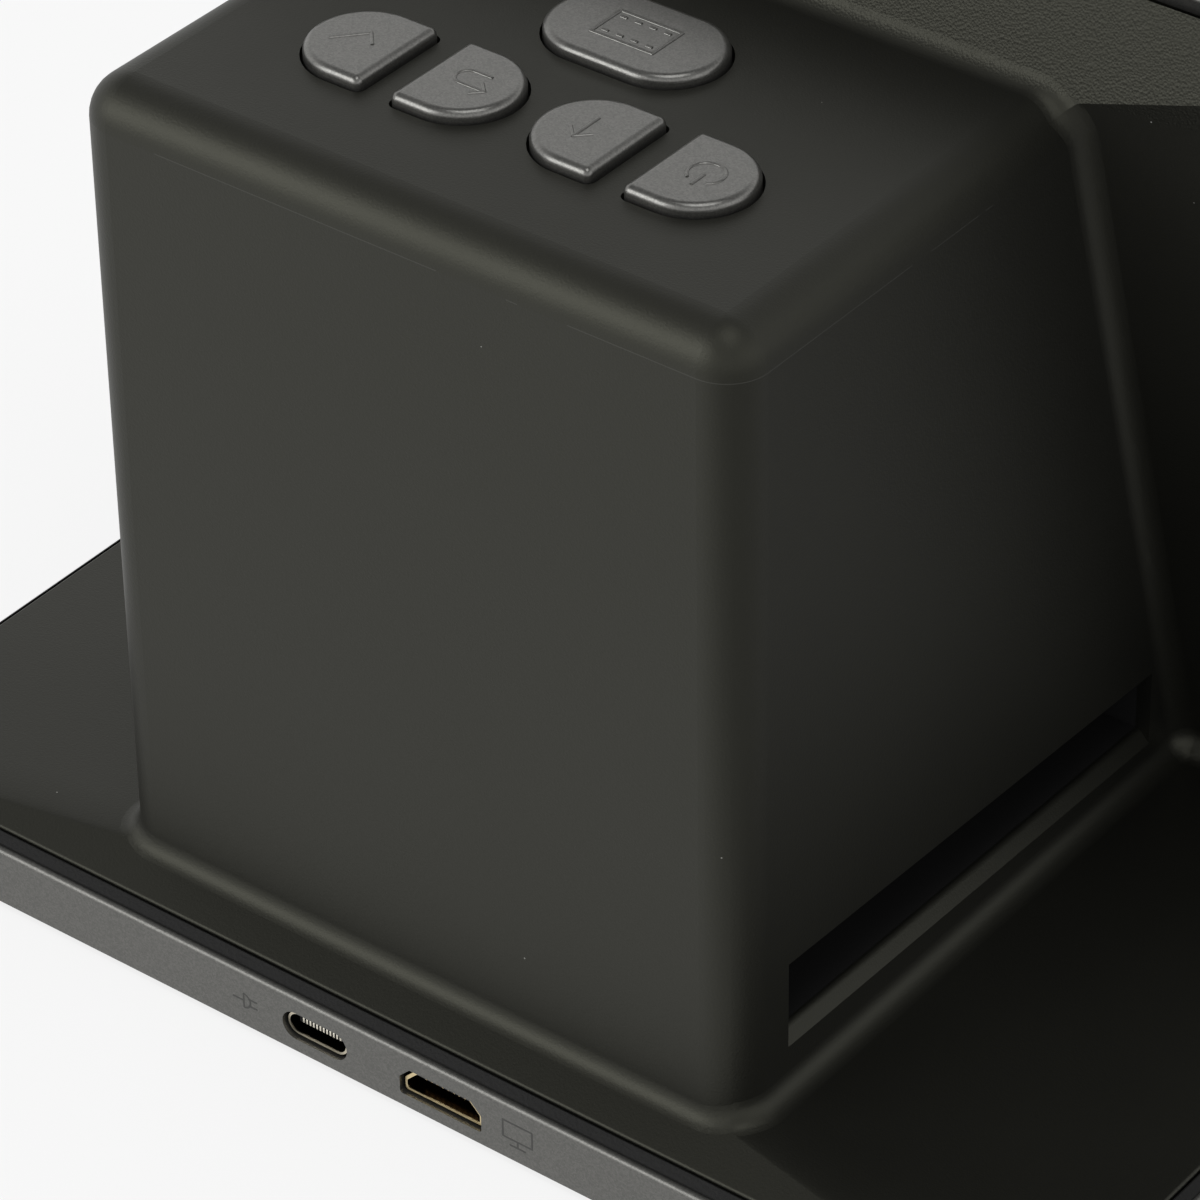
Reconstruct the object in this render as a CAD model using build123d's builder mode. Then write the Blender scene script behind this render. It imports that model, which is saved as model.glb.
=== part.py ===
# Film negative scanner: a black tower on a flat base, with a tilting display in front of it.
# Millimetres. +Z up, -Y to the person at the display, origin on the table under the middle.
import os
from math import cos, radians, sin, tan

from build123d import *

os.makedirs("parts", exist_ok=True)

# ---- Base: rubber feet, lower tray, metallic band and the edge of the upper cover ----
base_width = 180.0
base_depth = 130.0
corner_radius = 9.5
foot_lift = 0.9
foot_radius = 5.0
foot_seat = 0.8
foot_inset = 18.5
foot_edge = 0.4
band_height = 8.0
band_wall = 0.8
band_edge = 0.7
lip_wall = 1.05
lip_rise = 1.25
lip_chamfer = 0.9
seam_gap = 0.3
seam_rise = 1.5
seam_edge = 0.4
tray_floor = 2.0
plateau_rise = 2.7
plateau_tuck = 0.4
plateau_front = 47.0
skirt_wall = 1.5
skirt_drop = 3.0

# ---- Tower ----
wall = 2.0
tower_width = 90.5
tower_setback = 7.65
tower_height = 103.3
tower_top_depth = 60.45
tower_edge_radius = 5.3
foot_fillet = 2.8

# ---- Display housing, which leans back against the tower ----
lean = 15.5
housing_width = base_width - 11.0
housing_depth = 7.55
housing_edge = 0.8
facet_rise = 11.15
housing_bend_inset = 7.25
opening_margin = 4.25
opening_top = 14.0
opening_bottom = 104.0
front_cover_gap = 3.2
front_screw_inset = 6.0
front_cover_top = 6.0
front_cover_bottom = 108.0
front_cover_thickness = 2.0
cover_clearance = 0.15
tower_front_wall = 4.2

# ---- Film slot, measured on the side wall ----
slot_rear = 9.4
slot_length = 72.5
slot_floor_rear = 7.6
slot_floor_front = 5.8
slot_roof_rear = 17.8
slot_roof_front = 14.6
channel_wall = 1.2
lead_in_drop = 1.6
lead_in_slope = 48.0
lead_in_radius = 1.2
window_width = 40.0
window_depth = 28.0

# ---- Buttons ----
button_proud = 1.5
button_gap = 0.35
button_edge = 0.9
button_corner = 0.8
button_depth = 14.0
pair_length = 27.4
pair_split = 4.3
pair_x = 15.7
pair_y = 34.0
mode_length = 22.4
mode_y = 15.0
flange_width = 1.0
flange_thickness = 1.0
flange_slack = 0.3
button_travel = 0.6
plunger_radius = 1.75
running_fit = 0.03
switch_size = 6.0
switch_height = 3.4
switch_stroke = 1.4
switch_socket = 2.0
board_thickness = 1.2
button_board_width = tower_width - 10.5
button_board_depth = 42.0
button_board_y = 26.0
post_radius = 2.5
post_inset = 3.0
post_reach_y = 16.0
board_post_inset = 4.0

# ---- Optics under and over the film ----
light_box_width = 44.0
light_box_depth = 32.0
light_box_wall = 1.6
light_box_height = 8.2
diffuser_thickness = 1.5
glass_thickness = 1.5
led_size = 3.0
led_height = 0.8
led_pitch_x = 9.0
led_pitch_y = 8.0
shroud_height = 40.0
shroud_margin = 3.0
shroud_taper = 8.5
shroud_wall = 1.4
holder_flange_width = 38.0
holder_flange_depth = 26.0
holder_flange_thickness = 2.5
holder_flange_corner = 3.0
holder_radius = 10.0
holder_height = 14.0
lens_radius = 8.0
lens_length = 14.0
lens_wall = 1.9
lens_glass = 2.4
lens_edge = 0.5
lens_drop = 4.0
sensor_board_size = 34.0
sensor_width = 12.0
sensor_depth = 10.0
sensor_height = 1.2

# ---- Boards and sockets in the base ----
main_board_width = 78.0
main_board_depth = 26.0
main_board_rear_gap = 4.1
board_post_height = 3.3
chips = ((-14.0, -3.0, 13.0, 13.0), (12.0, -5.0, 9.0, 7.0), (25.0, -4.0, 6.0, 6.0))
chip_height = 1.0
port_depth = 7.3
port_recess = 0.6
port_wall = 0.3
port_gap = 0.35
usb_x = 9.8
usb_width = 8.94
usb_height = 3.2
usb_tongue_width = 6.7
usb_tongue_height = 0.7
hdmi_x = -8.8
hdmi_width = 11.2
hdmi_height = 3.2
hdmi_corner = 1.5
hdmi_tongue_width = 8.2
hdmi_tongue_height = 0.8
card_width = 25.0
card_height = 3.0
card_y = 20.0
card_socket_length = 23.0
card_board_width = 30.0
card_board_depth = 32.0

# ---- Display ----
groove_gap = 0.8
display_reach = 2.5
display_width = housing_width + 2 * display_reach
display_height = 112.0
display_thickness = 8.5
display_overhang = 2.0
display_radius = 6.0
display_edge = 0.6
frame_wall = 2.5
frame_ledge = 2.0
frame_window_corner = 1.5
glass_rim = 2.7
display_glass_thickness = 1.2
glass_recess = 0.1
lcd_margin = 11.0
lcd_width = display_width - lcd_margin
lcd_height = display_height - lcd_margin
lcd_thickness = 2.6
back_cover_thickness = 1.5
driver_board_width = 60.0
driver_board_height = 22.0
driver_board_thickness = 1.0
driver_board_gap = 0.4
bumper_radius = 3.0
bumper_thickness = 0.5
bumper_inset = 18.5
bumper_drop = 100.0

# ---- Display hinges ----
hinge_inset = 17.5
hinge_x = housing_width / 2 - hinge_inset
hinge_axis_depth = 2.3
hinge_axis_drop = 0.2
knuckle_radius = 1.4
pin_radius = 0.6
fixed_knuckle = 6.0
moving_knuckle = 3.0
knuckle_gap = 0.15
leaf_thickness = 1.0
leaf_width = 11.6
leaf_top = 3.4
leaf_bottom = 16.0
leaf_recess = 1.2
web_thickness = 1.8
notch_clearance = 0.35
pocket_skin = 0.4
pocket_top = 1.4
hinge_screw_drop = 11.0

# ---- Screws ----
screw_radius = 0.95
screw_head_radius = 1.9
screw_head_height = 1.0
screw_fit = 0.05
board_screw_length = 3.0
case_screw_radius = 1.2
case_head_radius = 2.5
case_head_height = 1.4
case_boss_radius = 3.0
case_screw_inset = 9.5
case_screw_middle_y = -10.0

# ---- Levels and planes worked out from the sizes above ----
band_top = foot_lift + band_height
seam_z = band_top + seam_rise
foot_z = seam_z + plateau_rise
top_z = foot_z + tower_height
floor_z = foot_lift + tray_floor
lip_top = band_top + lip_rise
cover_inset = band_wall + lip_wall + seam_gap
cover_radius = corner_radius - cover_inset + 0.5
skirt_z = seam_z - skirt_drop
rear_y = base_depth / 2
tower_rear = rear_y - tower_setback
top_front = tower_rear - tower_top_depth
half_tower = tower_width / 2
inner_half = half_tower - wall
inner_rear = tower_rear - wall
inner_top = top_z - wall
tilt_cos = cos(radians(lean))
tilt_sin = sin(radians(lean))
outward = Vector(0, -tilt_cos, tilt_sin)
up_slope = Vector(0, tilt_sin, tilt_cos)
groove = Vector(0, top_front, top_z) + outward * housing_depth + up_slope * facet_rise
housing_bend = half_tower - housing_bend_inset
opening_width = tower_width - 2 * opening_margin
front_cover_width = 2 * (hinge_x - leaf_width / 2 - front_cover_gap)
front_screw_x = front_cover_width / 2 - front_screw_inset
post_x = button_board_width / 2 - post_inset
bumper_x = housing_width / 2 - bumper_inset
screen = Plane(origin=tuple(groove), x_dir=(1, 0, 0), z_dir=tuple(outward))
housing_length = (groove.Z - (seam_z - 0.5)) / tilt_cos


def slope_y(z, depth):
    """Y of the plane that lies depth behind the housing's front face, at height z."""
    along = (z - groove.Z + depth * tilt_sin) / tilt_cos
    return groove.Y + depth * tilt_cos + along * tilt_sin


def mark(part, name):
    part.label = name
    export_step(part, f"parts/{name}.step")


def base_outline(inset, z):
    """Rounded rectangle of the base, drawn in by inset."""
    with BuildSketch(Plane.XY.offset(z), mode=Mode.PRIVATE) as outline:
        RectangleRounded(base_width - 2 * inset, base_depth - 2 * inset, max(corner_radius - inset, 0.6))
    return outline.sketch


def pair_outline(side, end, grow):
    """Half of a capsule: side is -1 or 1 for the pair, end is -1 or 1 for the half of it."""
    middle = (pair_length + pair_split) / 4
    width = (pair_length - pair_split) / 2
    with BuildSketch(mode=Mode.PRIVATE) as outline:
        with Locations((side * pair_x, pair_y)):
            SlotOverall(pair_length, button_depth)
        with Locations((side * pair_x + end * middle, pair_y)):
            Rectangle(width, button_depth, mode=Mode.INTERSECT)
        fillet(outline.vertices().filter_by(lambda v: abs(v.X - side * pair_x) < pair_split), button_corner)
        if grow:
            offset(amount=grow, kind=Kind.ARC)
    return outline.sketch


def mode_outline(grow):
    """Whole capsule of the mode button."""
    with BuildSketch(mode=Mode.PRIVATE) as outline:
        with Locations((0, mode_y)):
            SlotOverall(mode_length + 2 * grow, button_depth + 2 * grow)
    return outline.sketch


pair_middle = (pair_length + pair_split) / 4
button_places = {
    "ok": (pair_x + pair_middle, pair_y, lambda grow: pair_outline(1, 1, grow)),
    "back": (pair_x - pair_middle, pair_y, lambda grow: pair_outline(1, -1, grow)),
    "arrow": (-pair_x + pair_middle, pair_y, lambda grow: pair_outline(-1, 1, grow)),
    "power": (-pair_x - pair_middle, pair_y, lambda grow: pair_outline(-1, -1, grow)),
    "mode": (0.0, mode_y, mode_outline),
}
case_screw_x = base_width / 2 - case_screw_inset
case_screw_y = base_depth / 2 - case_screw_inset
case_screw_rows = (-case_screw_y, case_screw_middle_y, case_screw_y)
case_screw_places = [(sx * case_screw_x, y) for sx in (-1, 1) for y in case_screw_rows]
case_boss_top = floor_z + board_post_height
case_hole_top = seam_z - 1.4
foot_places = {
    "front_left": (-1, -1),
    "front_right": (1, -1),
    "rear_left": (-1, 1),
    "rear_right": (1, 1),
}
button_post_places = [(sx * post_x, button_board_y + sy * post_reach_y) for sx in (-1, 1) for sy in (-1, 1)]

cap_bottom = inner_top - flange_slack - flange_thickness
switch_top = cap_bottom - switch_stroke
button_board_top = switch_top - switch_height
button_board_z = button_board_top - board_thickness

slot_rear_y = tower_rear - slot_rear
slot_front_y = slot_rear_y - slot_length
slot_points = [
    (slot_rear_y, foot_z + slot_floor_rear),
    (slot_rear_y, foot_z + slot_roof_rear),
    (slot_front_y, foot_z + slot_roof_front),
    (slot_front_y, foot_z + slot_floor_front),
]
optic_y = (slot_rear_y + slot_front_y) / 2
channel_bottom = foot_z + min(slot_floor_rear, slot_floor_front) - channel_wall
channel_top = foot_z + max(slot_roof_rear, slot_roof_front) + channel_wall
channel_split = foot_z + (slot_floor_rear + slot_roof_front) / 2

main_board_z = floor_z + board_post_height
main_board_y = rear_y - main_board_rear_gap - main_board_depth / 2
port_z = main_board_z - usb_height / 2
port_mouth = rear_y - port_recess
card_board_x = base_width / 2 - main_board_rear_gap - card_board_width / 2
main_post_x = main_board_width / 2 - board_post_inset
main_post_y = main_board_depth / 2 - board_post_inset
main_post_places = [(sx * main_post_x, main_board_y + sy * main_post_y) for sx in (-1, 1) for sy in (-1, 1)]
card_post_x = card_board_x - card_board_width / 2 + board_post_inset
card_post_y = card_board_depth / 2 - board_post_inset
card_post_places = [(card_post_x, card_y + sy * card_post_y) for sy in (-1, 1)]
light_box_top = channel_bottom
light_box_z = light_box_top - light_box_height
led_board_z = light_box_z - board_thickness
light_post_x = light_box_width / 2 - post_inset
light_post_y = light_box_depth / 2 - post_inset
light_post_places = [(sx * light_post_x, optic_y + sy * light_post_y) for sx in (-1, 1) for sy in (-1, 1)]

# The panel lies in front of the housing. Depths run outward from the housing's front face.
panel_rear = groove_gap
panel_front = groove_gap + display_thickness
panel_middle = display_overhang - display_height / 2
hinge_depth = panel_rear + hinge_axis_depth
hinge_half = fixed_knuckle / 2 + knuckle_gap + moving_knuckle
glass_rear = panel_front - glass_recess - display_glass_thickness
lcd_rear = glass_rear - lcd_thickness
moving_leaf_rear = hinge_depth + knuckle_radius - leaf_thickness
hinge_places = {"left": -hinge_x, "right": hinge_x}
front_screw_rows = (-opening_top, -opening_bottom + front_screw_inset)
front_screw_places = [(sx * front_screw_x, u) for sx in (-1, 1) for u in front_screw_rows]


# Upper cover: one moulding, the base's top, the tower and the display housing in front of it.
with BuildPart() as tower_form:
    front_reach = housing_depth - 3.0
    with BuildSketch(Plane.YZ.offset(-half_tower)):
        with BuildLine():
            Polyline(
                (tower_rear, seam_z),
                (tower_rear, top_z),
                (slope_y(top_z, front_reach), top_z),
                (slope_y(seam_z, front_reach), seam_z),
                close=True,
            )
        make_face()
    extrude(amount=tower_width)
    upright_edges = tower_form.edges().filter_by(Axis.Z).group_by(Axis.Y)[-1]
    rim_edges = tower_form.faces().sort_by(Axis.Z)[-1].edges().sort_by(Axis.Y)[1:]
    fillet(upright_edges + rim_edges, radius=tower_edge_radius)


def housing_section(x, depth):
    """Slice of the display housing at x: upright face in front, 45 degree facet at the top."""
    across = Plane(origin=(x, groove.Y, groove.Z), x_dir=tuple(outward), z_dir=(1, 0, 0))
    with BuildSketch(across, mode=Mode.PRIVATE) as cut:
        with BuildLine():
            facet = facet_rise * depth / housing_depth
            Polyline((0, 0), (-depth, facet), (-depth, housing_length), (0, housing_length), close=True)
        make_face()
    return cut.sketch.faces()[0]


housing_taper = (housing_depth - housing_edge) / (housing_width / 2 - half_tower)
bend_depth = housing_edge + housing_taper * (housing_width / 2 - housing_bend)
with BuildPart() as housing_form:
    loft(
        sections=[
            housing_section(-housing_width / 2, housing_edge),
            housing_section(-housing_bend, bend_depth),
            housing_section(housing_bend, bend_depth),
            housing_section(housing_width / 2, housing_edge),
        ],
        ruled=True,
    )


def is_tower_foot(edge):
    """Where the tower and the housing stand on the sloping top of the base."""
    middle = edge.center()
    flat = edge.bounding_box().size.Z < 1.5
    low = seam_z + 0.4 < middle.Z < foot_z + 0.4
    on_tower = abs(middle.X) < half_tower + 0.3 and middle.Y > slope_y(foot_z, housing_depth) - 1
    return flat and low and on_tower


def is_housing_foot(edge):
    middle = edge.center()
    wing_y = slope_y(foot_z, housing_depth)
    return half_tower + 5 < abs(middle.X) < housing_width / 2 - 5 and seam_z < middle.Z < foot_z and (
        wing_y - 6 < middle.Y < wing_y - 1
    ) and edge.bounding_box().size.Y > 1.5


def is_housing_junction(edge):
    """Where the housing's rear meets the tower: over the top and down both sides."""
    middle = edge.center()
    size = edge.bounding_box().size
    beside = abs(abs(middle.X) - half_tower) < 0.05 and size.Z > tower_height / 2 and middle.Y < top_front + 10
    over = (
        middle.Z > top_z - 2.5 * tower_edge_radius
        and abs(middle.X) <= half_tower + 0.1
        and top_front - 3 < middle.Y < top_front + 1.5
        and size.Z < tower_height / 2
        and size.X < tower_width + 5
    )
    return beside or over


def lead_in(side, y, floor):
    """Slice across one mouth of the film slot: a ramp that runs up from the wall, rounded at its top."""
    steepness = tan(radians(lead_in_slope))
    crest = half_tower - lead_in_drop / steepness
    with BuildSketch(Plane.XZ.offset(-y), mode=Mode.PRIVATE) as cut:
        with BuildLine():
            Polyline(
                (side * crest, floor),
                (side * (half_tower + 1), floor - lead_in_drop - steepness),
                (side * (half_tower + 1), floor + 1),
                (side * inner_half, floor + 1),
                (side * inner_half, floor),
                close=True,
            )
        make_face()
        fillet(cut.vertices().filter_by(lambda v: abs(abs(v.X) - crest) < 0.001), radius=lead_in_radius)
    return cut.sketch.faces()[0]


with BuildPart() as top_cover:
    with BuildSketch(Plane.XY.offset(seam_z)):
        RectangleRounded(base_width - 2 * cover_inset, base_depth - 2 * cover_inset, cover_radius)
    with BuildSketch(Plane.XY.offset(foot_z)):
        with Locations((0, (tower_rear - plateau_front) / 2)):
            RectangleRounded(
                tower_width - 2 * plateau_tuck,
                tower_rear + plateau_front - 2 * plateau_tuck,
                tower_edge_radius - plateau_tuck,
            )
    loft(ruled=True)
    add(tower_form.part)
    add(housing_form.part)
    hollow_edges = top_cover.edges().filter_by(
        lambda e: is_tower_foot(e) or is_housing_foot(e) or is_housing_junction(e)
    )
    fillet(hollow_edges, radius=foot_fillet)
    # Skirt that drops inside the lip of the tray.
    with BuildSketch(Plane.XY.offset(skirt_z)):
        RectangleRounded(base_width - 2 * cover_inset, base_depth - 2 * cover_inset, cover_radius)
    extrude(amount=skirt_drop)
    seam_edges = top_cover.edges().filter_by(
        lambda e: abs(e.center().Z - seam_z) < 0.01 and e.bounding_box().size.Z < 0.01
    )
    fillet(seam_edges, radius=seam_edge)
    # Hollow of the base.
    inner_inset = cover_inset + skirt_wall
    with BuildSketch(Plane.XY.offset(skirt_z)):
        RectangleRounded(base_width - 2 * inner_inset, base_depth - 2 * inner_inset, cover_radius - skirt_wall)
    extrude(amount=skirt_drop - wall, mode=Mode.SUBTRACT)
    with BuildSketch(Plane.XY.offset(seam_z - wall)):
        RectangleRounded(base_width - 2 * inner_inset, base_depth - 2 * inner_inset, cover_radius - skirt_wall)
    with BuildSketch(Plane.XY.offset(foot_z - wall)):
        with Locations((0, (tower_rear - plateau_front) / 2)):
            RectangleRounded(
                tower_width - 2 * wall,
                tower_rear + plateau_front - 2 * wall,
                tower_edge_radius - wall,
            )
    loft(ruled=True, mode=Mode.SUBTRACT)
    # Hollow of the tower, with a rounded roof and rounded rear corners.
    with BuildPart(mode=Mode.PRIVATE) as tower_hollow:
        with BuildSketch(Plane.YZ.offset(-inner_half)):
            with BuildLine():
                Polyline(
                    (inner_rear, skirt_z),
                    (inner_rear, inner_top),
                    (slope_y(inner_top, tower_front_wall), inner_top),
                    (slope_y(skirt_z, tower_front_wall), skirt_z),
                    close=True,
                )
            make_face()
        extrude(amount=2 * inner_half)
        rear_corners = tower_hollow.edges().filter_by(Axis.Z).group_by(Axis.Y)[-1]
        fillet(rear_corners, radius=tower_edge_radius - wall)
    add(tower_hollow.part, mode=Mode.SUBTRACT)
    # Front opening and the seat of the front cover.
    with BuildSketch(screen.offset(-tower_front_wall - 0.1)):
        with Locations((0, -(opening_top + opening_bottom) / 2)):
            Rectangle(opening_width, opening_bottom - opening_top)
    extrude(amount=tower_front_wall + 0.2, mode=Mode.SUBTRACT)
    with BuildSketch(screen.offset(-front_cover_thickness)):
        with Locations((0, -(front_cover_top + front_cover_bottom) / 2)):
            Rectangle(
                front_cover_width + 2 * cover_clearance,
                front_cover_bottom - front_cover_top + 2 * cover_clearance,
            )
    extrude(amount=front_cover_thickness + 0.1, mode=Mode.SUBTRACT)
    with BuildSketch(screen.offset(-front_cover_thickness)):
        with Locations(*front_screw_places):
            Circle(screw_radius + screw_fit)
    extrude(amount=-board_screw_length - 0.3, mode=Mode.SUBTRACT)
    # Seats of the hinge leaves in the front face.
    with BuildSketch(screen.offset(-leaf_recess)):
        with Locations(*[(x, -(leaf_top + leaf_bottom) / 2) for x in hinge_places.values()]):
            Rectangle(leaf_width + 2 * cover_clearance, leaf_bottom - leaf_top + 2 * cover_clearance)
    extrude(amount=leaf_recess + 0.1, mode=Mode.SUBTRACT)
    with BuildSketch(screen.offset(-leaf_recess)):
        with Locations(*[(x, -hinge_screw_drop) for x in hinge_places.values()]):
            Circle(screw_radius + screw_fit)
    extrude(amount=-1.9, mode=Mode.SUBTRACT)
    # Film slot through both side walls.
    with BuildSketch(Plane.YZ.offset(-half_tower - 4)):
        with BuildLine():
            Polyline(*slot_points, close=True)
        make_face()
    extrude(amount=tower_width + 8, mode=Mode.SUBTRACT)
    for side in (-1, 1):
        mouth = [
            lead_in(side, slot_rear_y, foot_z + slot_floor_rear),
            lead_in(side, slot_front_y, foot_z + slot_floor_front),
        ]
        loft(sections=mouth, ruled=True, mode=Mode.SUBTRACT)
    # Button openings in the roof.
    with BuildSketch(Plane.XY.offset(inner_top - 1)):
        for _, _, outline in button_places.values():
            add(outline(button_gap))
    extrude(amount=wall + 2, mode=Mode.SUBTRACT)
    # Posts of the button board, and screw bosses round the base.
    with BuildSketch(Plane.XY.offset(button_board_top)):
        with Locations(*button_post_places):
            Circle(post_radius)
    extrude(until=Until.NEXT)
    with BuildSketch(Plane.XY.offset(button_board_top)):
        with Locations(*button_post_places):
            Circle(screw_radius + screw_fit)
    extrude(amount=board_screw_length, mode=Mode.SUBTRACT)
    with BuildSketch(Plane.XY.offset(case_boss_top)):
        with Locations(*case_screw_places):
            Circle(case_boss_radius)
    extrude(amount=seam_z - wall - case_boss_top + 1.0)
    with BuildSketch(Plane.XY.offset(case_boss_top)):
        with Locations(*case_screw_places):
            Circle(case_screw_radius + screw_fit)
    extrude(amount=case_hole_top - case_boss_top, mode=Mode.SUBTRACT)
mark(top_cover.part, "top_cover")


# Cross-sections of the two sockets in the rear edge, drawn on the rear plane (X to the left).
rear_plane = Plane(origin=(0, rear_y, 0), x_dir=(-1, 0, 0), z_dir=(0, 1, 0))


def usb_outline(plane, grow):
    with BuildSketch(plane, mode=Mode.PRIVATE) as outline:
        with Locations((-usb_x, port_z)):
            SlotOverall(usb_width + 2 * grow, usb_height + 2 * grow)
    return outline.sketch


def hdmi_outline(plane, grow):
    half = hdmi_width / 2 + grow
    low = port_z - hdmi_height / 2 - grow
    high = port_z + hdmi_height / 2 + grow
    with BuildSketch(plane, mode=Mode.PRIVATE) as outline:
        with BuildLine():
            Polyline(
                (-hdmi_x - half, low),
                (-hdmi_x - half, high - hdmi_corner),
                (-hdmi_x - half + hdmi_corner, high),
                (-hdmi_x + half - hdmi_corner, high),
                (-hdmi_x + half, high - hdmi_corner),
                (-hdmi_x + half, low),
                close=True,
            )
        make_face()
        fillet(outline.vertices(), 0.4)
    return outline.sketch


# Lower tray: floor, upright lip, seats for the feet, posts for the boards and screw bosses.
with BuildPart() as lower_tray:
    extrude(base_outline(band_wall, foot_lift), amount=lip_top - foot_lift)
    chamfer(lower_tray.faces().sort_by(Axis.Z)[-1].edges(), length=lip_chamfer)
    extrude(base_outline(band_wall + lip_wall, floor_z), amount=lip_top - floor_z, mode=Mode.SUBTRACT)
    foot_x = base_width / 2 - foot_inset
    foot_y = base_depth / 2 - foot_inset
    with BuildSketch(Plane.XY.offset(foot_lift)):
        with Locations(*[(sx * foot_x, sy * foot_y) for sx, sy in foot_places.values()]):
            Circle(foot_radius + cover_clearance)
    extrude(amount=foot_seat, mode=Mode.SUBTRACT)
    with BuildSketch(Plane.XY.offset(floor_z)):
        with Locations(*case_screw_places):
            Circle(case_boss_radius)
        with Locations(*main_post_places, *card_post_places):
            Circle(post_radius)
    extrude(amount=board_post_height)
    with BuildSketch(Plane.XY.offset(floor_z)):
        with Locations(*light_post_places):
            Circle(post_radius)
    extrude(amount=led_board_z - floor_z)
    with BuildSketch(Plane.XY.offset(foot_lift)):
        with Locations(*case_screw_places):
            Circle(case_screw_radius + screw_fit)
    extrude(amount=case_boss_top - foot_lift, mode=Mode.SUBTRACT)
    with BuildSketch(Plane.XY.offset(foot_lift)):
        with Locations(*case_screw_places):
            Circle(case_head_radius + cover_clearance)
    extrude(amount=case_head_height + 0.2, mode=Mode.SUBTRACT)
    with BuildSketch(Plane.XY.offset(main_board_z - board_screw_length)):
        with Locations(*main_post_places, *card_post_places):
            Circle(screw_radius + screw_fit)
    extrude(amount=board_screw_length, mode=Mode.SUBTRACT)
    # Openings for the sockets and the memory card.
    lip_plane = rear_plane.offset(-band_wall - lip_wall - 0.5)
    extrude(usb_outline(lip_plane, port_gap), amount=lip_wall + 1, mode=Mode.SUBTRACT)
    extrude(hdmi_outline(lip_plane, port_gap), amount=lip_wall + 1, mode=Mode.SUBTRACT)
    with BuildSketch(Plane.YZ.offset(base_width / 2 - band_wall - lip_wall - 0.5)):
        with Locations((card_y, port_z)):
            Rectangle(card_width + 0.6, card_height + 0.4)
    extrude(amount=lip_wall + 1, mode=Mode.SUBTRACT)
mark(lower_tray.part, "lower_tray")

# Metallic band round the edge of the base, with a rounded top edge.
with BuildPart() as rim_band:
    extrude(base_outline(0, foot_lift), amount=band_height)
    fillet(rim_band.faces().sort_by(Axis.Z)[-1].edges(), radius=band_edge)
    extrude(base_outline(band_wall, foot_lift), amount=band_height, mode=Mode.SUBTRACT)
    band_plane = rear_plane.offset(-band_wall - 0.1)
    extrude(usb_outline(band_plane, port_gap), amount=band_wall + 0.2, mode=Mode.SUBTRACT)
    extrude(hdmi_outline(band_plane, port_gap), amount=band_wall + 0.2, mode=Mode.SUBTRACT)
    with BuildSketch(Plane.YZ.offset(base_width / 2 - band_wall - 0.1)):
        with Locations((card_y, port_z)):
            RectangleRounded(card_width, card_height, 0.6)
    extrude(amount=band_wall + 0.2, mode=Mode.SUBTRACT)
mark(rim_band.part, "rim_band")

for place, (sx, sy) in foot_places.items():
    with BuildPart() as rubber_foot:
        with BuildSketch():
            with Locations((sx * foot_x, sy * foot_y)):
                Circle(foot_radius)
        extrude(amount=foot_lift + foot_seat)
        chamfer(rubber_foot.faces().sort_by(Axis.Z)[0].edges(), length=foot_edge)
    mark(rubber_foot.part, f"foot_{place}")

with BuildPart() as case_screws:
    with BuildSketch(Plane.XY.offset(foot_lift + 0.2)):
        with Locations(*case_screw_places):
            Circle(case_head_radius)
    extrude(amount=case_head_height)
    with BuildSketch(Plane.XY.offset(foot_lift + 0.2)):
        with Locations(*case_screw_places):
            Circle(case_screw_radius)
    extrude(amount=case_hole_top - foot_lift - 0.4)
mark(case_screws.part, "case_screws")


# Boards and sockets in the base.
def board_screws(places, head_z, down):
    """Pan-head screws, their heads on the board; down is 1 when the shank points down."""
    with BuildPart() as screws:
        with BuildSketch(Plane.XY.offset(head_z)):
            with Locations(*places):
                Circle(screw_head_radius)
        extrude(amount=down * screw_head_height)
        with BuildSketch(Plane.XY.offset(head_z)):
            with Locations(*places):
                Circle(screw_radius)
        extrude(amount=-down * (board_screw_length + board_thickness - 0.3))
    return screws.part


with BuildPart() as main_board:
    with BuildSketch(Plane.XY.offset(main_board_z)):
        with Locations((0, main_board_y)):
            Rectangle(main_board_width, main_board_depth)
        with Locations(*main_post_places):
            Circle(screw_radius + screw_fit, mode=Mode.SUBTRACT)
    extrude(amount=board_thickness)
    with BuildSketch(Plane.XY.offset(main_board_z + board_thickness)):
        for chip_x, chip_y, chip_width, chip_depth in chips:
            with Locations((chip_x, main_board_y + chip_y)):
                Rectangle(chip_width, chip_depth)
    extrude(amount=chip_height)
mark(main_board.part, "main_board")

with BuildPart() as card_board:
    with BuildSketch(Plane.XY.offset(main_board_z)):
        with Locations((card_board_x, card_y)):
            Rectangle(card_board_width, card_board_depth)
        with Locations(*card_post_places):
            Circle(screw_radius + screw_fit, mode=Mode.SUBTRACT)
    extrude(amount=board_thickness)
mark(card_board.part, "card_board")

screws = board_screws(main_post_places + card_post_places, main_board_z + board_thickness, 1)
mark(screws, "base_board_screws")

port_back = rear_plane.offset(-port_recess - port_depth)
port_floor = rear_plane.offset(-port_recess - port_depth + 0.8)
with BuildPart() as usb_c_shell:
    extrude(usb_outline(port_back, 0), amount=port_depth)
    extrude(usb_outline(port_floor, -port_wall), amount=port_depth, mode=Mode.SUBTRACT)
mark(usb_c_shell.part, "usb_c_shell")

with BuildPart() as usb_c_tongue:
    with BuildSketch(port_floor):
        with Locations((-usb_x, port_z)):
            Rectangle(usb_tongue_width, usb_tongue_height)
    extrude(amount=port_depth - 1.6)
mark(usb_c_tongue.part, "usb_c_tongue")

with BuildPart() as hdmi_shell:
    extrude(hdmi_outline(port_back, 0), amount=port_depth)
    extrude(hdmi_outline(port_floor, -port_wall), amount=port_depth, mode=Mode.SUBTRACT)
mark(hdmi_shell.part, "hdmi_shell")

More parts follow.
